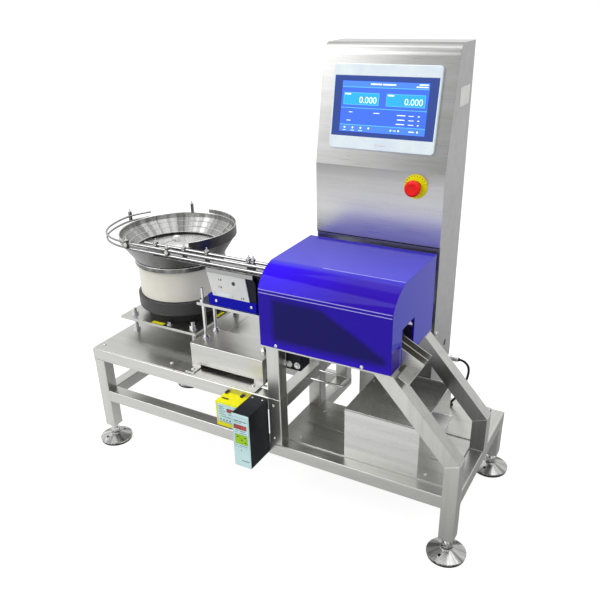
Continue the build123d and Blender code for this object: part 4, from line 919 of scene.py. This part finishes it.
class CHECKWEIGHER_OT_cable(bpy.types.Operator):
    """Lead from its gland on the column's side down to the floor plate"""

    bl_idname = "checkweigher.cable"
    bl_label = "Cable and Gland"

    def execute(self, context):
        curve = bpy.data.curves.new("column_lead", "CURVE")
        curve.dimensions = "3D"
        line = curve.splines.new("NURBS")
        points = [mm(*place) for place in LEAD_ROUTE]
        line.points.add(len(points) - 1)
        for spot, place in zip(line.points, points):
            spot.co = (*place, 1.0)
        line.order_u = 3
        line.use_endpoint_u = True
        line.resolution_u = 12
        diameter = fitting_values().cable_diameter
        curve.bevel_depth = diameter / 2
        curve.bevel_resolution = 6
        curve.use_fill_caps = True
        curve.materials.append(finish("black_rubber"))
        lead = bpy.data.objects.new("column_lead", curve)
        context.scene.collection.objects.link(lead)
        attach(lead, MACHINE)
        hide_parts("cable")
        # The gland: a hexagon on the wall, a turned body with two grooves, and a rubber seal round the lead
        body = turned("gland_body", "polished_steel", [
            (8, 0), (8, 16), (7.2, 16.6), (7.2, 18), (8, 18.6), (8, 27), (7.2, 27.6), (7.2, 29), (7.6, 29.6),
            (7.0, 31.6), (4.4, 32)])
        nut = turned("gland_nut", "polished_steel", [(11.2, 0), (11.2, 6.6), (10.2, 8)], 6)
        seal = turned("gland_seal", "black_rubber", [(5.6, 31), (5.4, 33), (4.1, 36), (3.6, 36.4)], 24)
        made = [put(piece, placed(LEAD_GLAND, "right")) for piece in (body, nut, seal)]
        gland = gather("gland", made)
        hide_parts("cable_gland")
        return {"FINISHED"}


def screen_place():
    # The middle of the screen's face: its own X runs across it and its own Y up it
    low, high = (Vector(corner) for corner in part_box("screen_bezel"))
    lean = math.radians(SCREEN_LEAN)
    out = Vector((0, -math.cos(lean), math.sin(lean)))
    turn = spun(90 - SCREEN_LEAN, "X")
    return Matrix.Translation((low + high) / 2 + out * SCREEN_THICK / 2 * MM) @ turn


class CHECKWEIGHER_OT_screen(bpy.types.Operator):
    """Picture on the operator's screen: header, two value boxes with figures, marks and a row of keys"""

    bl_idname = "checkweigher.screen"
    bl_label = "Screen Picture"

    def execute(self, context):
        left, right, low, high = DISPLAY
        wide = right - left
        tall = high - low

        def part(name, key, u0, u1, v0, v1, out, corner=0.4):
            # A part of the picture: its sides are shares of the picture from its upper left corner
            return tile(name, key, left + u0 * wide, left + u1 * wide, high - v1 * tall, high - v0 * tall,
                        0.02, out + PICTURE_RISE, corner)

        made = [part("field", "display_field", 0, 1, 0, 1, 0.12, 1.0),
                part("header", "display_bar", 0.002, 0.998, 0.004, 0.115, 0.15),
                part("keys", "display_bar", 0.002, 0.998, 0.865, 0.996, 0.15)]
        made += [part("line", "display_edge", 0.002, 0.998, v, v + 0.012, 0.18, 0.2) for v in DISPLAY_LINES]
        for start, end in DISPLAY_BOXES:
            made.append(part("box_edge", "display_edge", start, end, 0.225, 0.465, 0.18, 1.2))
            made.append(part("box", "display_box", start + 0.006, end - 0.006, 0.236, 0.454, 0.21, 1.0))
            made.append(part("box_mark", "display_marks", start + 0.015, start + 0.085, 0.245, 0.270,
                             0.25, 0.3))
            made.append(digits("display_marks", "0.000", 21, left + (end - 0.025) * wide,
                               high - 0.425 * tall, 0.24 + PICTURE_RISE))
        made += [part("mark", "display_marks", u0, u1, v, v + tallness, 0.25, 0.25)
                 for u0, u1, v, tallness in DISPLAY_MARKS]
        for u, v in DISPLAY_KEYS:
            key = turned("key_mark", "display_marks", [(2.3, 0.1), (2.3, 0.42), (2.0, 0.46)], 16)
            made.append(put(key, moved(left + u * wide, high - v * tall)))
        place = screen_place()
        gather("screen_picture", made, place)
        # A small lamp and a plain mark sit under the glass
        lamp = turned("lamp", "white_plastic", [(1.6, 0), (1.6, 0.3), (1.2, 0.5)], 20)
        strip = tile("plain_mark", "white_plastic", -14, 14, -88, -85, 0, 0.25, 0.8)
        lamp.data.transform(moved(118, -84))
        gather("screen_trim", (lamp, strip), place)
        return {"FINISHED"}


class CHECKWEIGHER_OT_stop_button(bpy.types.Operator):
    """Mushroom head of the stop button, with ticks round its yellow disc"""

    bl_idname = "checkweigher.stop_button"
    bl_label = "Stop Button"

    def execute(self, context):
        low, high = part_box("stop_head")
        centre = Vector(((low[0] + high[0]) / 2, high[1], (low[2] + high[2]) / 2))
        turn = spun(90, "X")
        radius = (high[0] - low[0]) / 2 / MM
        depth = (high[1] - low[1]) / MM
        head = turned("stop_mushroom", "red_plastic", [
            (8.9, 0), (8.9, 11), (radius - 2.2, 11.2), (radius - 0.3, 12.6), (radius, 15.0),
            (radius, depth - 6), (radius - 0.9, depth - 3), (radius - 2.8, depth - 1.1),
            (radius - 5.6, depth - 0.2), (radius - 7.4, depth), (radius - 9.0, depth - 0.5),
            (radius - 13, depth - 1.4), (2, depth - 1.8)], 56)
        put(head, Matrix.Translation(centre) @ turn)
        mushroom = gather("stop_mushroom", [head], body=HEAD_BODY)
        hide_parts("stop_head")
        ring_low, ring_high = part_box("stop_ring")
        face = Matrix.Translation((centre.x, ring_low[1], centre.z)) @ turn
        tick = tile("tick", "black_plastic", 24.4, 27.6, -0.6, 0.6, 0, 0.16, 0.3)
        ticks = repeated(tick, [face @ spun(angle) for angle in STOP_TICKS])
        rim = put(hoop("disc_rim", "yellow_plastic", 29.4, 0.6, 64), face)
        collar = put(hoop("collar_ring", "black_plastic", 14.6, 0.8, 48), face @ moved(0, 0, 4.5))
        gather("stop_disc_trim", [*ticks, rim, collar])
        return {"FINISHED"}


class CHECKWEIGHER_OT_screws(bpy.types.Operator):
    """Dome screws and small hexagon bolts of the frame, the plates, the cover and the drive"""

    bl_idname = "checkweigher.screws"
    bl_label = "Screws and Bolts"

    def execute(self, context):
        kinds = [(name, dome_screw(scale), places) for name, scale, places in DOME_SCREWS]
        kinds += [(name, hex_bolt(scale, stud), places) for name, scale, stud, places in HEX_BOLTS]
        for name, model, places in kinds:
            spots = [placed(place, facing) for facing, rows in places.items() for place in rows]
            gather(name, repeated(model, spots))
        return {"FINISHED"}


class CHECKWEIGHER_OT_controllers(bpy.types.Operator):
    """Front faces of the two control boxes: displays, keys, marks and a clip"""

    bl_idname = "checkweigher.controllers"
    bl_label = "Control Boxes"

    @staticmethod
    def face(plates, marks, keys, key_size):
        # A key's size is half its width, half its height, and how far it stands out
        wide, tall, rise = key_size
        made = [tile("plate", *row) for row in plates]
        made += [tile("mark", "key_grey", *sides, 0.1, 0.28, 0.3) for sides in marks]
        return made + [tile("key", "black_plastic", x - wide, x + wide, y - tall, y + tall, 0.1, rise, 0.8)
                       for x, y in keys]

    def execute(self, context):
        lamp = turned("lamp", "black_plastic", [(1.5, 0), (1.5, 0.5), (1.1, 0.8)], 16)
        made = self.face(BLACK_PLATES, BLACK_MARKS, BLACK_KEYS, (2.2, 1.7, 0.55))
        made += [digits("lamp_digits", "100", 10, 42, -43, 0.40), put(lamp, moved(23.6, -112))]
        gather("black_box_face", made, placed(BLACK_FACE, "front"))
        made = self.face(YELLOW_PLATES, YELLOW_MARKS, YELLOW_KEYS, (1.8, 1.8, 0.6))
        made.append(digits("lamp_digits", "50", 8, 55, -19.4, 0.40))
        gather("yellow_box_face", made, placed(YELLOW_FACE, "front"))

        # A dark clip and two plugs on the yellow box, and the black box's cooling slots on its side as dark
        # strips of painted shade
        top = placed((0, 0, 320), "up")
        clip = slab("clip", "black_plastic", (506, -33, 0), (527, -29, 2.6), 0.8)
        plugs = [slab("plug", "black_plastic", (x, -9, 0), (x + 8, -1, 5.5), 1.2) for x in (499, 549)]
        gather("yellow_box_clip", (clip, *plugs), top)
        side = placed((BLACK_FACE[0] + 52, 0, 0), "right")
        slots = [tile("slot", "black_rubber", -76, -28, z, z + 2.4, 0, 0.35, 1.1) for z in range(196, 245, 8)]
        gather("black_box_slots", slots, side)
        return {"FINISHED"}


class CHECKWEIGHER_OT_drive(bpy.types.Operator):
    """Holes, blank label and leaf springs of the linear drive, and the strip on the bowl's plate"""

    bl_idname = "checkweigher.drive"
    bl_label = "Linear Drive"

    def execute(self, context):
        face = placed((0, DRIVE_FACE, 0), "front")
        # The hole is a shallow black dish of painted shade
        hole = turned("hole", "black_plastic", [(5.6, 0), (5.6, 0.3), (4.6, 0.35), (4.2, 0.05)], 28)
        made = [put(hole, moved(483, 605.5))]
        # Each slot is a dark oblong of painted shade with a small screw in its middle
        made += [tile("slot", "dark_steel", x - 5.4, x + 5.4, z - 2.9, z + 2.9, 0, 0.25, 2.8)
                 for x, z in DRIVE_SLOTS]
        made.append(tile("blank_label", "panel_plastic", 425, 468, 563, 571.5, 0, 0.3, 0.8))
        gather("drive_plate_details", made, face)
        # A pack of thin springs stands between the blue base and the top bar
        leaves = [slab("leaf", "black_paint", (end - 3.2, 104, 548), (end - 0.8, 136, 634), 0.5)
                  for end in (556, 560, 564)]
        leaves.append(slab("spacer_low", "black_paint", (552.2, 102, 536), (566, 138, 552), 1.2))
        leaves.append(slab("spacer_high", "black_paint", (546, 102, 628.2), (566, 138, 636), 1.2))
        gather("drive_springs", leaves, placed())
        # A yellow strip with its clamp, and a blank tag, lie on the bowl's plate
        strip = slab("plate_strip", "yellow_plastic", (282, 262, 0), (292, 306, 1.6), 0.7)
        clamp = slab("strip_clamp", "black_plastic", (281, 300, 0), (293, 309, 3.2), 0.8)
        tag = tile("blank_tag", "yellow_plastic", 127, 173, 138, 151, 0, 0.4, 1.0)
        gather("bowl_plate_strip", (strip, clamp, tag), placed((0, 0, 395)))
        return {"FINISHED"}


class CHECKWEIGHER_OT_bowl(bpy.types.Operator):
    """Rolled edges of the bowl and of its rim wall, its seams, and the white guide over it"""

    bl_idname = "checkweigher.bowl"
    bl_label = "Bowl Fittings"

    def execute(self, context):
        x, y = BOWL_CENTRE
        rings = [put(hoop("ring", "polished_steel", radius, thick, 128), placed((x, y, z)))
                 for radius, thick, z in ((177.9, 1.7, 657.2), (140.6, 1.3, 579.4), (133.4, 1.0, 565.4))]
        gather("bowl_edges", rings)
        band = [put(hoop("band", "black_rubber", radius, thick, 128), placed((x, y, z)))
                for radius, thick, z in ((137.2, 1.6, 578.4), (133.2, 1.3, 468.6))]
        gather("bowl_seals", band)
        block = slab("guide", "white_plastic", (220, 176, 659), (236, 190, 677), 1.2)
        arm = turned("guide_arm", "polished_steel", [(2.0, 0), (2.0, 74), (1.4, 75)], 16)
        put(block, placed())
        put(arm, placed((214, 110, 668)) @ aimed(Vector((13, 68, 0))))
        gather("bowl_guide", [block, arm])
        # The rim wall's rolled edge runs only as far round as the wall does
        wall = hoop("wall_edge", "polished_steel", 180.3, 1.1, 160)
        with edit_mode():
            for angle, side in ((-42, 1), (93, -1)):
                turn = math.radians(angle)
                cut = Vector((-math.sin(turn), math.cos(turn), 0)) * side
                bpy.ops.mesh.select_all(action="SELECT")
                bpy.ops.mesh.bisect(plane_co=(0, 0, 0), plane_no=cut, clear_inner=True, use_fill=True)
        gather("bowl_wall_edge", [put(wall, placed((x, y, 671)))])
        return {"FINISHED"}


class CHECKWEIGHER_OT_column(bpy.types.Operator):
    """Lock, oval cover, blank label, painted gap shade and back door fittings of the column"""

    bl_idname = "checkweigher.column"
    bl_label = "Column Fittings"

    def execute(self, context):
        lock = turned("lock", "polished_steel", [
            (8.5, 0), (8.5, 1.2), (7.4, 2.2), (7.0, 2.2), (6.6, 1.6), (6.2, 3.2), (5.6, 3.6)], 32)
        # The key slot is a black tile of painted shade
        slot = tile("key_slot", "black_plastic", -0.8, 0.8, -3.4, 3.4, 3.55, 3.75, 0.5)
        spots = [placed((986, 303, 472), "right"), *(placed((660, 444, z), "back") for z in (560, 980))]
        gather("column_locks", repeated(joined([lock, slot]), spots))
        side = placed((986, 0, 0), "right")
        label = tile("label", "white_plastic", 352, 424, 1048, 1092, 0, 0.3, 1.5)
        oval = tile("oval", "black_plastic", 379, 393, 400, 420, 0, 1.0, 6.9)
        oval_rim = tile("oval_rim", "polished_steel", 377.6, 394.4, 398.6, 421.4, 0, 0.6, 8.2)
        gather("column_side_details", (label, oval, oval_rim), side)
        # Barrel hinges on the back door, with their leaves, and a row of slots for air drawn as black strips
        # of painted shade
        back = placed((0, 444, 0), "back")
        hinges = []
        for z in (470, 760, 1050):
            barrel = turned("barrel", "polished_steel", [
                (3.6, 0), (4.0, 0.6), (4.0, 29.4), (3.4, 29.6), (3.4, 30.4), (4.0, 30.6), (4.0, 59.4),
                (3.6, 60)], 24)
            hinges.append(put(barrel, placed((977, 446.5, z - 30))))
            leaf = tile("leaf", "polished_steel", -973, -950, z - 26, z + 26, 0, 1.6, 2.0)
            hinges.append(put(leaf, back))
        gather("column_hinges", hinges)
        slots = [tile("air_slot", "black_plastic", -880, -745, z, z + 4, 0, 0.4, 1.9)
                 for z in range(420, 505, 12)]
        gather("column_air_slots", slots, back)
        # A black strip of painted shade fills the gap under the leaning panel's sheet, where the cover panel
        # begins
        gap = slab("recess", "black_rubber", (640, 282.9, 717.5), (985, 286.2, 720.6), 0.4)
        gather("column_recess_line", [put(gap, placed())])
        return {"FINISHED"}


class CHECKWEIGHER_OT_cover(bpy.types.Operator):
    """Painted highlights along the bends of the acrylic cover"""

    bl_idname = "checkweigher.cover"
    bl_label = "Cover Details"

    def execute(self, context):
        front = placed((0, -8, 0), "front")
        # Pale strips paint the highlights along the front's two bends and along the top
        lines = [tile("bend", "bend_line", 627.5, 981.5, z, z + 2.2, -0.1, 0.4, 0.5) for z in (646.5, 655.0)]
        top = tile("bend", "bend_line", 770, 981.5, 62.6, 65.2, -0.1, 0.3, 0.5)
        made = [put(piece, front) for piece in lines] + [put(top, placed((0, 0, 709)))]
        gather("cover_bend_lines", made)
        return {"FINISHED"}


class CHECKWEIGHER_OT_bin(bpy.types.Operator):
    """Folded edges of the bin and its flange"""

    bl_idname = "checkweigher.bin"
    bl_label = "Bin and Chute"

    def execute(self, context):
        x0, x1, y0, y1, z = BIN_MOUTH
        flat = 1.2
        # Each hem's sides, its depth, and its bevel's width and steps: four on the mouth, three on the flange
        rows = ((x0, x1, y0, y0 + 2.4, 3, 0.9, 3), (x0, x1, y1 - 2.4, y1, 3, 0.9, 3),
                (x0, x0 + 2.4, y0, y1, 3, 0.9, 3), (x1 - 2.4, x1, y0, y1, 3, 0.9, 3),
                (x1, x1 + 52, 50, 51.8, 1.8, 0.6, 2), (x1, x1 + 52, 130.2, 132, 1.8, 0.6, 2),
                (x1 + 50.2, x1 + 52, 50, 132, 1.8, 0.6, 2))
        hems = [slab("hem", "stainless_edge", (left, front, z - depth), (right, back, z + flat), edge, steps)
                for left, right, front, back, depth, edge, steps in rows]
        gather("bin_hems", hems, placed())
        return {"FINISHED"}


class CHECKWEIGHER_OT_feet(bpy.types.Operator):
    """Fixing holes through the cones of the levelling feet, drawn as black discs of painted shade in steel
    rims
    """

    bl_idname = "checkweigher.feet"
    bl_label = "Feet"

    def execute(self, context):
        # Each hole is a black disc of painted shade inside a steel rim
        hole = turned("hole", "black_rubber", [(4.6, 0), (4.6, 0.7), (3.9, 0.7), (3.7, 0.5)], 24)
        rim = turned("rim", "stainless_edge", [(5.6, 0), (5.5, 0.35), (4.7, 0.45), (4.6, 0.2)], 24)
        lean = moved(FOOT_HOLE_OUT, 0, FOOT_HOLE_UP) @ spun(FOOT_SLOPE, "Y")
        spots = [placed((x, y, 0)) @ spun(turn) @ lean for x, y in FOOT_CENTRES for turn in FOOT_HOLE_TURNS]
        gather("foot_holes", repeated(hole, spots) + repeated(rim, spots))
        return {"FINISHED"}


class CHECKWEIGHER_OT_welds(bpy.types.Operator):
    """Ground weld beads on the joints of the frame's tubes"""

    bl_idname = "checkweigher.welds"
    bl_label = "Weld Beads"

    def execute(self, context):
        r = fitting_values().weld_radius / MM
        rings = [(0.3 * r, 0)]
        for step in range(18):
            rings += [(r, 1.0 + 2 * step), (0.72 * r, 2.0 + 2 * step)]
        rings.append((0.3 * r, 38))
        model = turned("bead", "weld_steel", rings, 8)
        spots = []
        for start, end in WELDS:
            start, end = mm(*start), mm(*end)
            run = end - start
            grow = Matrix.Diagonal((1, 1, run.length / (38 * MM), 1))
            spots.append(Matrix.Translation(start) @ aimed(run) @ grow)
        gather("weld_beads", repeated(model, spots))
        return {"FINISHED"}


def mixed_reflection(tree, vector):
    # Mirror rays meet a floor that is pale in front of the machine and dimmer beside and behind it
    along = vector_node(tree, "DOT_PRODUCT", vector, (0.55, 0.83, 0.0))["Value"]
    return bands(tree, along, -4.0, 4.0, FLOOR_BANDS)


def stage_material(name, colour, seen):
    # The floor shows as white to the camera, and still takes the machine's shadow
    material = bpy.data.materials.new(name)
    material.use_nodes = True
    tree = material.node_tree
    tree.nodes.clear()
    out = tree.nodes.new("ShaderNodeOutputMaterial")
    diffuse = tree.nodes.new("ShaderNodeBsdfDiffuse")
    diffuse.inputs["Color"].default_value = (*colour, 1.0)
    glow = tree.nodes.new("ShaderNodeEmission")
    coordinates = tree.nodes.new("ShaderNodeTexCoord")
    path = tree.nodes.new("ShaderNodeLightPath")
    mirrored = math_node(tree, "MAXIMUM", path.outputs["Is Glossy Ray"], path.outputs["Is Transmission Ray"])
    reflected = math_node(tree, "MULTIPLY", mirrored, mixed_reflection(tree, coordinates.outputs["Object"]))
    direct = math_node(tree, "MULTIPLY", path.outputs["Is Camera Ray"], seen)
    tree.links.new(math_node(tree, "ADD", direct, reflected), glow.inputs["Strength"])
    both = tree.nodes.new("ShaderNodeAddShader")
    tree.links.new(diffuse.outputs[0], both.inputs[0])
    tree.links.new(glow.outputs[0], both.inputs[1])
    tree.links.new(both.outputs[0], out.inputs["Surface"])
    return material


# Where along the floor, from before to behind the machine, and how bright mirror rays find it
FLOOR_BANDS = ((-4.0, 0.62), (4.0, 0.50), (-1.36, 0.80), (-0.56, 0.72), (0.16, 0.16), (0.80, 0.12),
               (1.76, 0.34))


def studio_world():
    world = bpy.data.worlds.new("studio")
    bpy.context.scene.world = world
    world.use_nodes = True
    tree = world.node_tree
    background = tree.nodes["Background"]
    path = tree.nodes.new("ShaderNodeLightPath")
    direction = tree.nodes.new("ShaderNodeTexCoord")
    way = parts_of(tree, direction.outputs["Generated"])
    # Mirror rays meet a room that is bright above and dimmer beside and in front of the machine
    high = ramp(tree, way["Z"], -0.1, 0.75)
    front = ramp(tree, way["Y"], 0.3, -0.8)
    right = ramp(tree, way["X"], 0.1, 0.9)
    dim = varied(tree, front, 0.30, math_node(tree, "MULTIPLY", right, 0.45))
    room = math_node(tree, "ADD", math_node(tree, "MULTIPLY", high, 0.45),
                     math_node(tree, "SUBTRACT", 0.85, dim), clamp=True)
    mirrored = math_node(tree, "MAXIMUM", path.outputs["Is Glossy Ray"], path.outputs["Is Transmission Ray"])
    diffuse = math_node(tree, "MULTIPLY", math_node(tree, "SUBTRACT", 1.0, mirrored), 0.80)
    strength = math_node(tree, "ADD", math_node(tree, "MULTIPLY", mirrored, room), diffuse)
    shown = math_node(tree, "MAXIMUM", path.outputs["Is Camera Ray"], strength)
    tree.links.new(shown, background.inputs["Strength"])
    background.inputs["Color"].default_value = (1.0, 1.0, 1.0, 1.0)


def soft_lamp(name, place, target, size, energy):
    lamp = bpy.data.lights.new(name, "AREA")
    lamp.shape = "RECTANGLE"
    lamp.size, lamp.size_y = size
    lamp.energy = energy
    holder = bpy.data.objects.new(name, lamp)
    bpy.context.scene.collection.objects.link(holder)
    holder.location = place
    holder.rotation_euler = (Vector(target) - Vector(place)).to_track_quat("-Z", "Y").to_euler()
    return holder


class CHECKWEIGHER_OT_stage(bpy.types.Operator):
    """Set up the pale floor, the studio light and the photograph's camera"""

    bl_idname = "checkweigher.stage"
    bl_label = "Stage"

    def execute(self, context):
        values = context.scene.checkweigher_stage
        deselect()
        bpy.ops.mesh.primitive_plane_add(size=values.floor_size, location=(0.0, 0.0, -0.0002))
        floor = context.object
        floor.name = "floor"
        floor.data.materials.append(stage_material("floor_white", (0.30, 0.30, 0.30), 0.86))
        studio_world()
        middle = (0.0, 0.0, 0.5)
        soft_lamp("key_light", (-1.9, -2.0, 3.0), middle, (2.2, 2.2), values.key_energy)
        soft_lamp("fill_light", (2.8, -1.2, 2.0), middle, (1.8, 2.2), values.fill_energy)
        soft_lamp("top_light", (0.2, 0.6, 3.4), middle, (2.6, 2.0), values.key_energy * 0.6)
        camera = bpy.data.objects.new("camera", bpy.data.cameras.new("camera"))
        context.scene.collection.objects.link(camera)
        camera.location = CAMERA_PLACE
        camera.rotation_euler = [math.radians(angle) for angle in CAMERA_TURN]
        camera.data.lens = CAMERA_LENS
        camera.data.sensor_width = 36.0
        camera.data.shift_x, camera.data.shift_y = CAMERA_SHIFT
        context.scene.camera = camera
        context.scene.view_settings.view_transform = "Standard"
        return {"FINISHED"}


PIECES = (
    CHECKWEIGHER_OT_stage,
    CHECKWEIGHER_OT_cable,
    CHECKWEIGHER_OT_finishes,
    CHECKWEIGHER_OT_screen,
    CHECKWEIGHER_OT_stop_button,
    CHECKWEIGHER_OT_screws,
    CHECKWEIGHER_OT_controllers,
    CHECKWEIGHER_OT_drive,
    CHECKWEIGHER_OT_bowl,
    CHECKWEIGHER_OT_column,
    CHECKWEIGHER_OT_cover,
    CHECKWEIGHER_OT_bin,
    CHECKWEIGHER_OT_feet,
    CHECKWEIGHER_OT_welds,
)


class CHECKWEIGHER_PT_panel(bpy.types.Panel):
    """Lists the checkweigher's pieces in the sidebar"""

    bl_idname = "CHECKWEIGHER_PT_panel"
    bl_label = "Checkweigher"
    bl_space_type = "VIEW_3D"
    bl_region_type = "UI"
    bl_category = "Checkweigher"

    def draw(self, context):
        scene = context.scene
        for group in (scene.checkweigher_finish, scene.checkweigher_fittings, scene.checkweigher_stage):
            box = self.layout.box()
            for name in group.__annotations__:
                box.prop(group, name)
        for piece in PIECES:
            self.layout.operator(piece.bl_idname)


CLASSES = (CheckweigherFinish, CheckweigherFittings, CheckweigherStage, *PIECES, CHECKWEIGHER_PT_panel)


def register():
    for cls in CLASSES:
        bpy.utils.register_class(cls)
    bpy.types.Scene.checkweigher_finish = bpy.props.PointerProperty(type=CheckweigherFinish)
    bpy.types.Scene.checkweigher_fittings = bpy.props.PointerProperty(type=CheckweigherFittings)
    bpy.types.Scene.checkweigher_stage = bpy.props.PointerProperty(type=CheckweigherStage)


def unregister():
    del bpy.types.Scene.checkweigher_stage
    del bpy.types.Scene.checkweigher_fittings
    del bpy.types.Scene.checkweigher_finish
    for cls in reversed(CLASSES):
        bpy.utils.unregister_class(cls)


def main():
    register()
    for piece in PIECES:
        group, name = piece.bl_idname.split(".")
        getattr(getattr(bpy.ops, group), name)()


if __name__ == "__main__":
    main()
